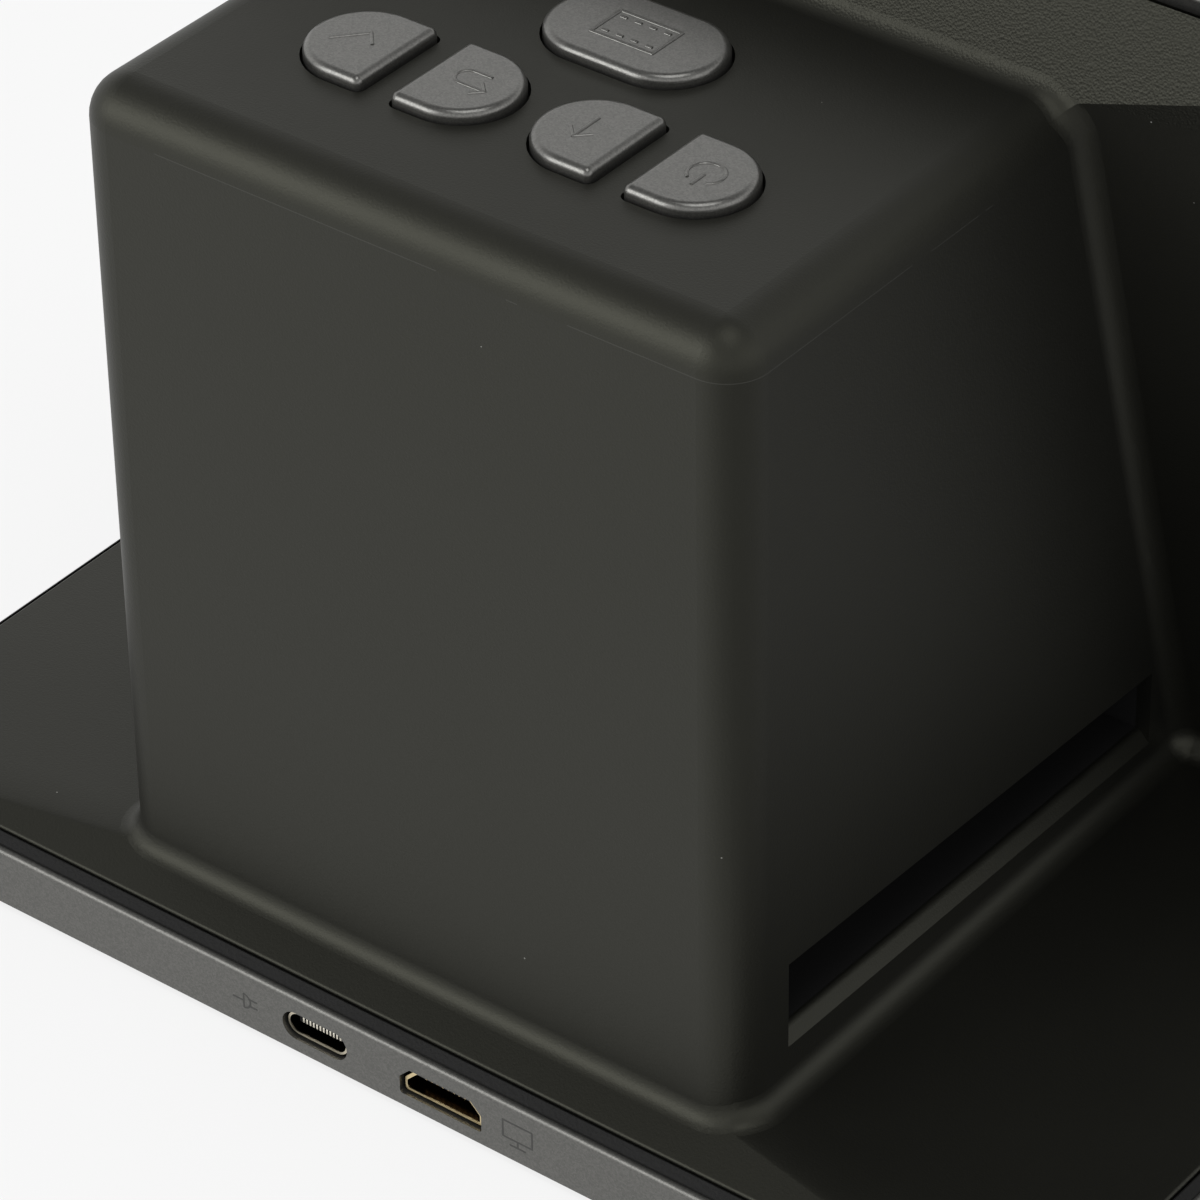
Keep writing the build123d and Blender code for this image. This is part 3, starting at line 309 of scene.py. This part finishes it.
# Lower tray: black ABS with a coarse dull grain, seen as the narrow lip inside the band.
# The same moulding is the underside, with seats for the feet and the screws.
material, tree = start_material("moulded_abs_coarse_grain")
place = add(tree, "ShaderNodeTexCoord")
grain = add(
    tree, "ShaderNodeTexNoise", {"Scale": 2600.0, "Detail": 2.0}, {"Vector": (place, "Object")}
)
tone = add(
    tree,
    "ShaderNodeMix",
    {"data_type": "RGBA", 6: linear("#090909"), 7: linear("#171716")},
    {0: (grain, 0)},
)
bump = add(
    tree, "ShaderNodeBump", {"Distance": 0.00012, "Strength": 0.6}, {"Height": (grain, 0)}
)
plastic = add(
    tree,
    "ShaderNodeBsdfPrincipled",
    {"IOR": 1.45, "Roughness": 0.62, "Specular IOR Level": 0.25},
    {"Base Color": (tone, 2), "Normal": (bump, 0)},
)
add(tree, "ShaderNodeOutputMaterial", {}, {"Surface": (plastic, 0)})
coat(["lower_tray"], material)

# Band round the base and frame of the display: ABS sprayed with a dark silver metallic lacquer.
# The aluminium flakes in it, drawn at 0.2 mm, give a fine even speckle.
material, tree = start_material("dark_silver_lacquer")
place = add(tree, "ShaderNodeTexCoord")
flake = add(tree, "ShaderNodeTexVoronoi", {"Scale": 5200.0}, {"Vector": (place, "Object")})
shade = add(tree, "ShaderNodeSeparateColor", {}, {0: (flake, "Color")})
tone = add(
    tree,
    "ShaderNodeMix",
    {"data_type": "RGBA", 6: linear("#61615e"), 7: linear("#706f6c")},
    {0: (shade, 0)},
)
orange_peel = add(
    tree, "ShaderNodeTexNoise", {"Scale": 1500.0, "Detail": 2.0}, {"Vector": (place, "Object")}
)
bump = add(
    tree, "ShaderNodeBump", {"Distance": 0.00004, "Strength": 0.18}, {"Height": (orange_peel, 0)}
)
lacquer = add(
    tree,
    "ShaderNodeBsdfPrincipled",
    {"Metallic": 0.85, "Roughness": 0.40},
    {"Base Color": (tone, 2), "Normal": (bump, 0)},
)
add(tree, "ShaderNodeOutputMaterial", {}, {"Surface": (lacquer, 0)})
coat(["rim_band", "display_frame"], material)

# Buttons: moulded caps in the same lacquer, a shade lighter and glossier, with raised signs.
# The signs are moulded with the caps, 0.13 mm high and half round.
# They are generic: tick, return, arrow, power and a film frame.
keys = ("ok", "back", "arrow", "power", "mode")
button_finish, tree = start_material("button_silver_lacquer")
place = add(tree, "ShaderNodeTexCoord")
flake = add(tree, "ShaderNodeTexVoronoi", {"Scale": 5200.0}, {"Vector": (place, "Object")})
shade = add(tree, "ShaderNodeSeparateColor", {}, {0: (flake, "Color")})
tone = add(
    tree,
    "ShaderNodeMix",
    {"data_type": "RGBA", 6: linear("#6a6a67"), 7: linear("#7b7a77")},
    {0: (shade, 0)},
)
bump = add(
    tree, "ShaderNodeBump", {"Distance": 0.00003, "Strength": 0.15}, {"Height": (shade, 0)}
)
lacquer = add(
    tree,
    "ShaderNodeBsdfPrincipled",
    {"Metallic": 0.85, "Roughness": 0.29},
    {"Base Color": (tone, 2), "Normal": (bump, 0)},
)
add(tree, "ShaderNodeOutputMaterial", {}, {"Surface": (lacquer, 0)})
coat([f"button_{key}" for key in keys], button_finish)

stroke_width = 0.00045
stroke_height = 0.00013
stroke_sides = 12
merge_distance = 1e-7


def bar(bm, start, end, width=stroke_width, height=stroke_height):
    """A straight raised stroke, half round, between two points (x, y)."""
    start, end = Vector((*start, 0)), Vector((*end, 0))
    run = end - start
    made = bmesh.ops.create_cone(
        bm, cap_ends=True, segments=stroke_sides, radius1=0.5, radius2=0.5, depth=1.0
    )["verts"]
    bmesh.ops.rotate(bm, verts=made, matrix=Matrix.Rotation(pi / 2, 3, "Y"))
    bmesh.ops.scale(bm, verts=made, vec=(run.length + width * 0.5, width, 2 * height))
    bmesh.ops.rotate(bm, verts=made, matrix=Matrix.Rotation(atan2(run.y, run.x), 3, "Z"))
    bmesh.ops.translate(bm, verts=made, vec=(start + end) / 2)


def arc(bm, centre, radius, start, sweep, width=stroke_width, height=stroke_height):
    """A curved raised stroke round a centre, from start degrees through sweep degrees."""
    middle = (*centre, 0)
    made = bmesh.ops.create_circle(bm, cap_ends=True, segments=stroke_sides, radius=0.5)["verts"]
    bmesh.ops.rotate(bm, verts=made, matrix=Matrix.Rotation(pi / 2, 3, "X"))
    bmesh.ops.scale(bm, verts=made, vec=(width, 1, 2 * height))
    bmesh.ops.translate(bm, verts=made, vec=(radius, 0, 0))
    bmesh.ops.rotate(bm, verts=made, matrix=Matrix.Rotation(radians(start), 3, "Z"))
    bmesh.ops.translate(bm, verts=made, vec=middle)
    face = [f for f in made[0].link_faces if len(f.verts) == stroke_sides]
    bmesh.ops.spin(bm, geom=face, cent=middle, axis=(0, 0, 1), angle=radians(sweep), steps=24)


def place_sign(bm, name, key):
    """Sets the strokes on the middle of a cap, and lets them move with it."""
    low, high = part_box(f"button_{key}")
    bmesh.ops.remove_doubles(bm, verts=bm.verts, dist=merge_distance)
    bmesh.ops.translate(
        bm, verts=bm.verts, vec=((low.x + high.x) / 2, (low.y + high.y) / 2, high.z)
    )
    bmesh.ops.recalc_face_normals(bm, faces=bm.faces)
    sign = make_piece(bm, name, button_finish)
    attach(sign, f"key_{key}")


bm = bmesh.new()
bar(bm, (-0.0022, 0.0002), (-0.0006, -0.0016))
bar(bm, (-0.0006, -0.0016), (0.0024, 0.0018))
place_sign(bm, "sign_tick", "ok")

bm = bmesh.new()
bar(bm, (-0.0024, 0.0008), (0.0010, 0.0008))
bar(bm, (-0.0024, 0.0008), (-0.0012, 0.0020))
bar(bm, (-0.0024, 0.0008), (-0.0012, -0.0004))
arc(bm, (0.0010, -0.0006), 0.0014, -90, 180)
bar(bm, (0.0010, -0.0020), (-0.0012, -0.0020))
place_sign(bm, "sign_return", "back")

bm = bmesh.new()
bar(bm, (0, -0.0022), (0, 0.0022))
bar(bm, (0, 0.0022), (-0.0014, 0.0008))
bar(bm, (0, 0.0022), (0.0014, 0.0008))
place_sign(bm, "sign_arrow", "arrow")

bm = bmesh.new()
arc(bm, (0, -0.0002), 0.0021, 125, 290)
bar(bm, (0, 0.0002), (0, 0.0024))
place_sign(bm, "sign_power", "power")

# Film frame: an outline with four sprocket holes along each long edge.
half_length, half_width = 0.0042, 0.0027
hole_y, half_hole = 0.0017, 0.0003
bm = bmesh.new()
for sx in (-1, 1):
    bar(bm, (sx * half_length, -half_width), (sx * half_length, half_width))
for sy in (-1, 1):
    bar(bm, (-half_length, sy * half_width), (half_length, sy * half_width))
    for x in (-0.0030, -0.0010, 0.0010, 0.0030):
        bar(bm, (x - half_hole, sy * hole_y), (x + half_hole, sy * hole_y))
place_sign(bm, "sign_film_frame", "mode")

# Rubber feet and bumpers: black moulded silicone rubber, glued into their seats.
# Soft and dull, with a little dust in the surface.
material, tree = start_material("moulded_rubber")
place = add(tree, "ShaderNodeTexCoord")
dusty = add(
    tree, "ShaderNodeTexNoise", {"Scale": 900.0, "Detail": 4.0}, {"Vector": (place, "Object")}
)
tone = add(
    tree,
    "ShaderNodeMix",
    {"data_type": "RGBA", 6: linear("#141414"), 7: linear("#2b2a29")},
    {0: (dusty, 0)},
)
bump = add(
    tree, "ShaderNodeBump", {"Distance": 0.00005, "Strength": 0.3}, {"Height": (dusty, 0)}
)
rubber = add(
    tree,
    "ShaderNodeBsdfPrincipled",
    {"Roughness": 0.75, "IOR": 1.5},
    {"Base Color": (tone, 2), "Normal": (bump, 0)},
)
add(tree, "ShaderNodeOutputMaterial", {}, {"Surface": (rubber, 0)})
feet = [f"foot_{end}_{side}" for end in ("front", "rear") for side in ("left", "right")]
coat(feet + ["display_bumpers"], material)

# Screws and hinges: zinc-plated steel, turned and stamped, with faint scratches.
# The hinges hold the display by the friction of their knuckles. The card socket's shell is
# stamped from the same sheet.
material, tree = start_material("zinc_plated_steel")
place = add(tree, "ShaderNodeTexCoord")
stretched = add(
    tree, "ShaderNodeMapping", {"Scale": (1.0, 14.0, 1.0)}, {"Vector": (place, "Object")}
)
scratch = add(
    tree, "ShaderNodeTexNoise", {"Scale": 420.0, "Detail": 3.0}, {"Vector": (stretched, 0)}
)
tone = add(
    tree,
    "ShaderNodeMix",
    {"data_type": "RGBA", 6: linear("#9a9a98"), 7: linear("#bdbdba")},
    {0: (scratch, 0)},
)
rough = add(
    tree, "ShaderNodeMath", {"operation": "MULTIPLY_ADD", 1: 0.2, 2: 0.25}, {0: (scratch, 0)}
)
bump = add(
    tree, "ShaderNodeBump", {"Distance": 0.00002, "Strength": 0.2}, {"Height": (scratch, 0)}
)
steel = add(
    tree,
    "ShaderNodeBsdfPrincipled",
    {"Metallic": 1.0},
    {"Base Color": (tone, 2), "Roughness": (rough, 0), "Normal": (bump, 0)},
)
add(tree, "ShaderNodeOutputMaterial", {}, {"Surface": (steel, 0)})
places = ("case", "base_board", "button_board", "front_cover", "housing_hinge", "display_hinge")
coat([f"{where}_screws" for where in places], material)
for side in ("left", "right"):
    coat([f"hinge_fixed_leaf_{side}", f"hinge_moving_leaf_{side}", f"hinge_pin_{side}"], material)
coat(["card_socket"], material)

# Cross recesses of the six case screws, which the heading punch presses into the heads, are not cut
# here: thin dark crosses laid on the heads give their painted shade. Seen from below they are dark
# crosses in the bright heads. One arm of each lies 4 microns deeper than the other, so that no two
# faces coincide.
material, tree = start_material("painted_recess_shade")
place = add(tree, "ShaderNodeTexCoord")
scratch = add(
    tree, "ShaderNodeTexNoise", {"Scale": 900.0, "Detail": 3.0}, {"Vector": (place, "Object")}
)
tone = add(
    tree,
    "ShaderNodeMix",
    {"data_type": "RGBA", 6: linear("#161615"), 7: linear("#2a2a28")},
    {0: (scratch, 0)},
)
steel = add(
    tree, "ShaderNodeBsdfPrincipled", {"Metallic": 0.5, "Roughness": 0.7}, {"Base Color": (tone, 2)}
)
add(tree, "ShaderNodeOutputMaterial", {}, {"Surface": (steel, 0)})
head_radius = 0.0025
middle_screw_y = -0.010
recess_reach = 0.0012
recess_width = 0.0007
recess_depth, deeper_depth = 0.00002, 0.000024
low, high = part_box("case_screws")
# Painted shade: each cross is a thin dark sheet on the head, not a hollow.
bm = bmesh.new()
for x in (low.x + head_radius, high.x - head_radius):
    for y in (low.y + head_radius, middle_screw_y, high.y - head_radius):
        bar(bm, (x - recess_reach, y), (x + recess_reach, y), recess_width, recess_depth)
        bar(bm, (x, y - recess_reach), (x, y + recess_reach), recess_width, deeper_depth)
bmesh.ops.translate(bm, verts=bm.verts, vec=(0, 0, low.z))
bmesh.ops.recalc_face_normals(bm, faces=bm.faces)
piece = make_piece(bm, "case_screw_recess_shade", material)
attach(piece, "scanner")

# Socket shells: folded steel sheet, one tin-plated and one flashed with gold, soldered under the
# board in the base. Only the rolled edge of the mouth is bright, a thin warm line round a black
# opening. Behind that edge the shell is painted dark, as painted shade inside the opening.
mouth_edge_y = 0.06425
for name, dull, bright, painted_inside_shade, roughness, node in (
    ("tin_plated_shell", "#b4ac98", "#dbd3c0", "#2b2924", 0.28, "usb_c_shell"),
    ("gold_flashed_shell", "#c9b486", "#ecdcb4", "#3c2a14", 0.3, "hdmi_shell"),
):
    material, tree = start_material(name)
    place = add(tree, "ShaderNodeTexCoord")
    stain = add(
        tree, "ShaderNodeTexNoise", {"Scale": 700.0, "Detail": 3.0}, {"Vector": (place, "Object")}
    )
    tone = add(
        tree,
        "ShaderNodeMix",
        {"data_type": "RGBA", 6: linear(dull), 7: linear(bright)},
        {0: (stain, 0)},
    )
    axes = add(tree, "ShaderNodeSeparateXYZ", {}, {0: (place, "Object")})
    # Painted shade: behind the mouth's edge the plated tone gives way to a dark one.
    mouth = add(
        tree, "ShaderNodeMath", {"operation": "GREATER_THAN", 1: mouth_edge_y}, {0: (axes, "Y")}
    )
    tone = add(
        tree,
        "ShaderNodeMix",
        {"data_type": "RGBA", 6: linear(painted_inside_shade)},
        {0: (mouth, 0), 7: (tone, 2)},
    )
    bump = add(
        tree, "ShaderNodeBump", {"Distance": 0.00001, "Strength": 0.15}, {"Height": (stain, 0)}
    )
    shell = add(
        tree,
        "ShaderNodeBsdfPrincipled",
        {"Metallic": 1.0, "Roughness": roughness},
        {"Base Color": (tone, 2), "Normal": (bump, 0)},
    )
    add(tree, "ShaderNodeOutputMaterial", {}, {"Surface": (shell, 0)})
    coat([node], material)

# Contacts of the two sockets: gold-flashed springs laid in the tongue and bent over its tip,
# at a pitch of 0.5 and 0.8 mm. They show as a row of fine bright ticks in the dark opening.
# They stand a hair proud of the tongue.
material, tree = start_material("gold_flashed_contact")
place = add(tree, "ShaderNodeTexCoord")
stain = add(
    tree, "ShaderNodeTexNoise", {"Scale": 1500.0, "Detail": 2.0}, {"Vector": (place, "Object")}
)
tone = add(
    tree,
    "ShaderNodeMix",
    {"data_type": "RGBA", 6: linear("#d8d2c2"), 7: linear("#f4efe2")},
    {0: (stain, 0)},
)
spring = add(
    tree,
    "ShaderNodeBsdfPrincipled",
    {"Metallic": 1.0, "Roughness": 0.25},
    {"Base Color": (tone, 2)},
)
add(tree, "ShaderNodeOutputMaterial", {}, {"Surface": (spring, 0)})
contact_length = 0.0046
contact_proud = 0.00005
contact_bend = 0.00012
for name, tongue, count, pitch, width in (
    ("usb_c_contacts", "usb_c_tongue", 12, 0.0005, 0.00024),
    ("hdmi_contacts", "hdmi_tongue", 10, 0.0008, 0.0003),
):
    low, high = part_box(tongue)
    y = high.y - contact_length / 2 + contact_proud
    z = (low.z + high.z) / 2
    bm = bmesh.new()
    for i in range(count):
        x = (low.x + high.x) / 2 + (i - (count - 1) / 2) * pitch
        made = bmesh.ops.create_cube(bm, size=1.0)["verts"]
        size = (width, contact_length, high.z - low.z + 2 * contact_proud)
        bmesh.ops.scale(bm, verts=made, vec=size)
        bmesh.ops.translate(bm, verts=made, vec=(x, y, z))
    bmesh.ops.bevel(
        bm,
        geom=[e for e in bm.edges if abs(e.verts[0].co.x - e.verts[1].co.x) > width * 0.9],
        affect="EDGES",
        offset=contact_bend,
        segments=2,
        profile=0.5,
        material=-1,
    )
    piece = make_piece(bm, name, material)
    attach(piece, "scanner")

# Signs beside the sockets: pad-printed on the band in dark grey ink, a plug and a screen.
# They are generic and stand where such products have them.
material, tree = start_material("pad_printed_ink")
place = add(tree, "ShaderNodeTexCoord")
speckle = add(
    tree, "ShaderNodeTexNoise", {"Scale": 2500.0, "Detail": 2.0}, {"Vector": (place, "Object")}
)
tone = add(
    tree,
    "ShaderNodeMix",
    {"data_type": "RGBA", 6: linear("#2e2e2c"), 7: linear("#454542")},
    {0: (speckle, 0)},
)
ink = add(
    tree, "ShaderNodeBsdfPrincipled", {"Roughness": 0.5, "IOR": 1.45}, {"Base Color": (tone, 2)}
)
add(tree, "ShaderNodeOutputMaterial", {}, {"Surface": (ink, 0)})
line_width, ink_height = 0.00028, 0.000015
print_size = (line_width, ink_height)
plug = bmesh.new()
bar(plug, (-0.0026, 0), (-0.0010, 0), *print_size)
arc(plug, (-0.0010, 0), 0.0010, 90, -180, *print_size)
bar(plug, (-0.0010, -0.0010), (-0.0010, 0.0010), *print_size)
bar(plug, (-0.0002, 0.0005), (0.0010, 0.0005), *print_size)
bar(plug, (-0.0002, -0.0005), (0.0010, -0.0005), *print_size)
screen = bmesh.new()
for sx in (-1, 1):
    bar(screen, (sx * 0.0021, -0.0007), (sx * 0.0021, 0.0017), *print_size)
for y in (-0.0007, 0.0017):
    bar(screen, (-0.0021, y), (0.0021, y), *print_size)
bar(screen, (0, -0.0016), (0, -0.0007), *print_size)
bar(screen, (-0.0011, -0.0016), (0.0011, -0.0016), *print_size)
low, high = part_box("usb_c_shell")
sign_z = (low.z + high.z) / 2
band_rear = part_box("rim_band")[1].y
face_rear = Matrix(((-1, 0, 0), (0, 0, 1), (0, 1, 0)))
for name, bm, x in (("sign_plug", plug, 0.0195), ("sign_screen", screen, -0.0200)):
    bmesh.ops.remove_doubles(bm, verts=bm.verts, dist=merge_distance)
    bmesh.ops.rotate(bm, verts=bm.verts, matrix=face_rear)
    bmesh.ops.translate(bm, verts=bm.verts, vec=(x, band_rear, sign_z))
    bmesh.ops.recalc_face_normals(bm, faces=bm.faces)
    piece = make_piece(bm, name, material)
    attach(piece, "scanner")

# Tongues, switches and film channel: black glass-filled nylon and matt ABS.
# The channel is dead matt so that no light strays onto the film.
material, tree = start_material("dead_matt_nylon")
place = add(tree, "ShaderNodeTexCoord")
fibre = add(
    tree, "ShaderNodeTexNoise", {"Scale": 1800.0, "Detail": 3.0}, {"Vector": (place, "Object")}
)
tone = add(
    tree,
    "ShaderNodeMix",
    {"data_type": "RGBA", 6: linear("#040404"), 7: linear("#090909")},
    {0: (fibre, 0)},
)
bump = add(
    tree, "ShaderNodeBump", {"Distance": 0.00004, "Strength": 0.3}, {"Height": (fibre, 0)}
)
nylon = add(
    tree,
    "ShaderNodeBsdfPrincipled",
    {"Roughness": 0.85, "IOR": 1.4},
    {"Base Color": (tone, 2), "Normal": (bump, 0)},
)
add(tree, "ShaderNodeOutputMaterial", {}, {"Surface": (nylon, 0)})
coat(["usb_c_tongue", "hdmi_tongue", "key_switches"], material)
coat(["channel_floor", "channel_roof", "light_shroud", "lens_holder", "lens_barrel"], material)

# Circuit boards: green solder mask over glass-epoxy sheet, with copper tracks faintly showing.
# They are screwed to posts inside, and show only when the case is open.
material, tree = start_material("solder_mask_green")
place = add(tree, "ShaderNodeTexCoord")
track = add(
    tree,
    "ShaderNodeTexBrick",
    {"Scale": 420.0, "Mortar Size": 0.12},
    {"Vector": (place, "Object")},
)
tone = add(
    tree,
    "ShaderNodeMix",
    {"data_type": "RGBA", 6: linear("#12452b"), 7: linear("#1c5c39")},
    {0: (track, "Fac")},
)
mask = add(
    tree, "ShaderNodeBsdfPrincipled", {"Roughness": 0.3, "IOR": 1.55}, {"Base Color": (tone, 2)}
)
add(tree, "ShaderNodeOutputMaterial", {}, {"Surface": (mask, 0)})
boards = ("main", "card", "button", "backlight", "sensor", "driver")
coat([f"{name}_board" for name in boards], material)

# Light under the film: opal acrylic sheet as the diffuser, and a white light box and lamps.
# The plungers that carry the buttons' stroke down to the switches are white too.
material, tree = start_material("opal_acrylic")
place = add(tree, "ShaderNodeTexCoord")
cloud = add(
    tree, "ShaderNodeTexNoise", {"Scale": 120.0, "Detail": 3.0}, {"Vector": (place, "Object")}
)
tone = add(
    tree,
    "ShaderNodeMix",
    {"data_type": "RGBA", 6: linear("#d9d9d4"), 7: linear("#ececea")},
    {0: (cloud, 0)},
)
opal = add(
    tree, "ShaderNodeBsdfPrincipled", {"Roughness": 0.5, "IOR": 1.49}, {"Base Color": (tone, 2)}
)
add(tree, "ShaderNodeOutputMaterial", {}, {"Surface": (opal, 0)})
coat(["diffuser", "light_box", "backlight_leds"] + [f"plunger_{key}" for key in keys], material)

# Lenses and dust glass: ground and coated optical glass, clear and very smooth.
# The lenses are cemented into the barrel, and the dust glass lies over the film.
material, tree = start_material("coated_glass")
glass = add(
    tree,
    "ShaderNodeBsdfPrincipled",
    {"Base Color": linear("#e8f0ee"), "Roughness": 0.03, "IOR": 1.52, "Transmission Weight": 1.0},
)
add(tree, "ShaderNodeOutputMaterial", {}, {"Surface": (glass, 0)})
coat(["dust_glass", "front_lens", "rear_lens"], material)

# Image sensor: a dark silicon chip under a glass lid, soldered to its board.
# The rows of cells give it a faint grid.
material, tree = start_material("sensor_chip")
place = add(tree, "ShaderNodeTexCoord")
cells = add(tree, "ShaderNodeTexBrick", {"Scale": 900.0}, {"Vector": (place, "Object")})
tone = add(
    tree,
    "ShaderNodeMix",
    {"data_type": "RGBA", 6: linear("#15202a"), 7: linear("#1d2b38")},
    {0: (cells, "Fac")},
)
chip = add(
    tree, "ShaderNodeBsdfPrincipled", {"Roughness": 0.15, "IOR": 1.5}, {"Base Color": (tone, 2)}
)
add(tree, "ShaderNodeOutputMaterial", {}, {"Surface": (chip, 0)})
coat(["image_sensor"], material)

# Display: cover glass with a black border printed on its back, over the liquid crystal panel.
# Switched off, the picture area is a shade lighter than the border.
picture_half_width = 0.0765
picture_half_height = 0.0415
picture_middle = 0.0796
material, tree = start_material("printed_cover_glass")
place = add(tree, "ShaderNodeTexCoord")
axes = add(tree, "ShaderNodeSeparateXYZ", {}, {0: (place, "Object")})
across = add(tree, "ShaderNodeMath", {"operation": "ABSOLUTE"}, {0: (axes, "X")})
wide = add(
    tree, "ShaderNodeMath", {"operation": "LESS_THAN", 1: picture_half_width}, {0: (across, 0)}
)
height = add(
    tree, "ShaderNodeMath", {"operation": "SUBTRACT", 1: picture_middle}, {0: (axes, "Z")}
)
height = add(tree, "ShaderNodeMath", {"operation": "ABSOLUTE"}, {0: (height, 0)})
tall = add(
    tree, "ShaderNodeMath", {"operation": "LESS_THAN", 1: picture_half_height}, {0: (height, 0)}
)
picture = add(tree, "ShaderNodeMath", {"operation": "MULTIPLY"}, {0: (wide, 0), 1: (tall, 0)})
tone = add(
    tree,
    "ShaderNodeMix",
    {"data_type": "RGBA", 6: linear("#040405"), 7: linear("#17181c")},
    {0: (picture, 0)},
)
smear = add(
    tree, "ShaderNodeTexNoise", {"Scale": 60.0, "Detail": 3.0}, {"Vector": (place, "Object")}
)
rough = add(
    tree, "ShaderNodeMath", {"operation": "MULTIPLY_ADD", 1: 0.05, 2: 0.03}, {0: (smear, 0)}
)
cover_glass = add(
    tree,
    "ShaderNodeBsdfPrincipled",
    {"IOR": 1.52},
    {"Base Color": (tone, 2), "Roughness": (rough, 0)},
)
add(tree, "ShaderNodeOutputMaterial", {}, {"Surface": (cover_glass, 0)})
coat(["display_glass", "lcd_panel"], material)
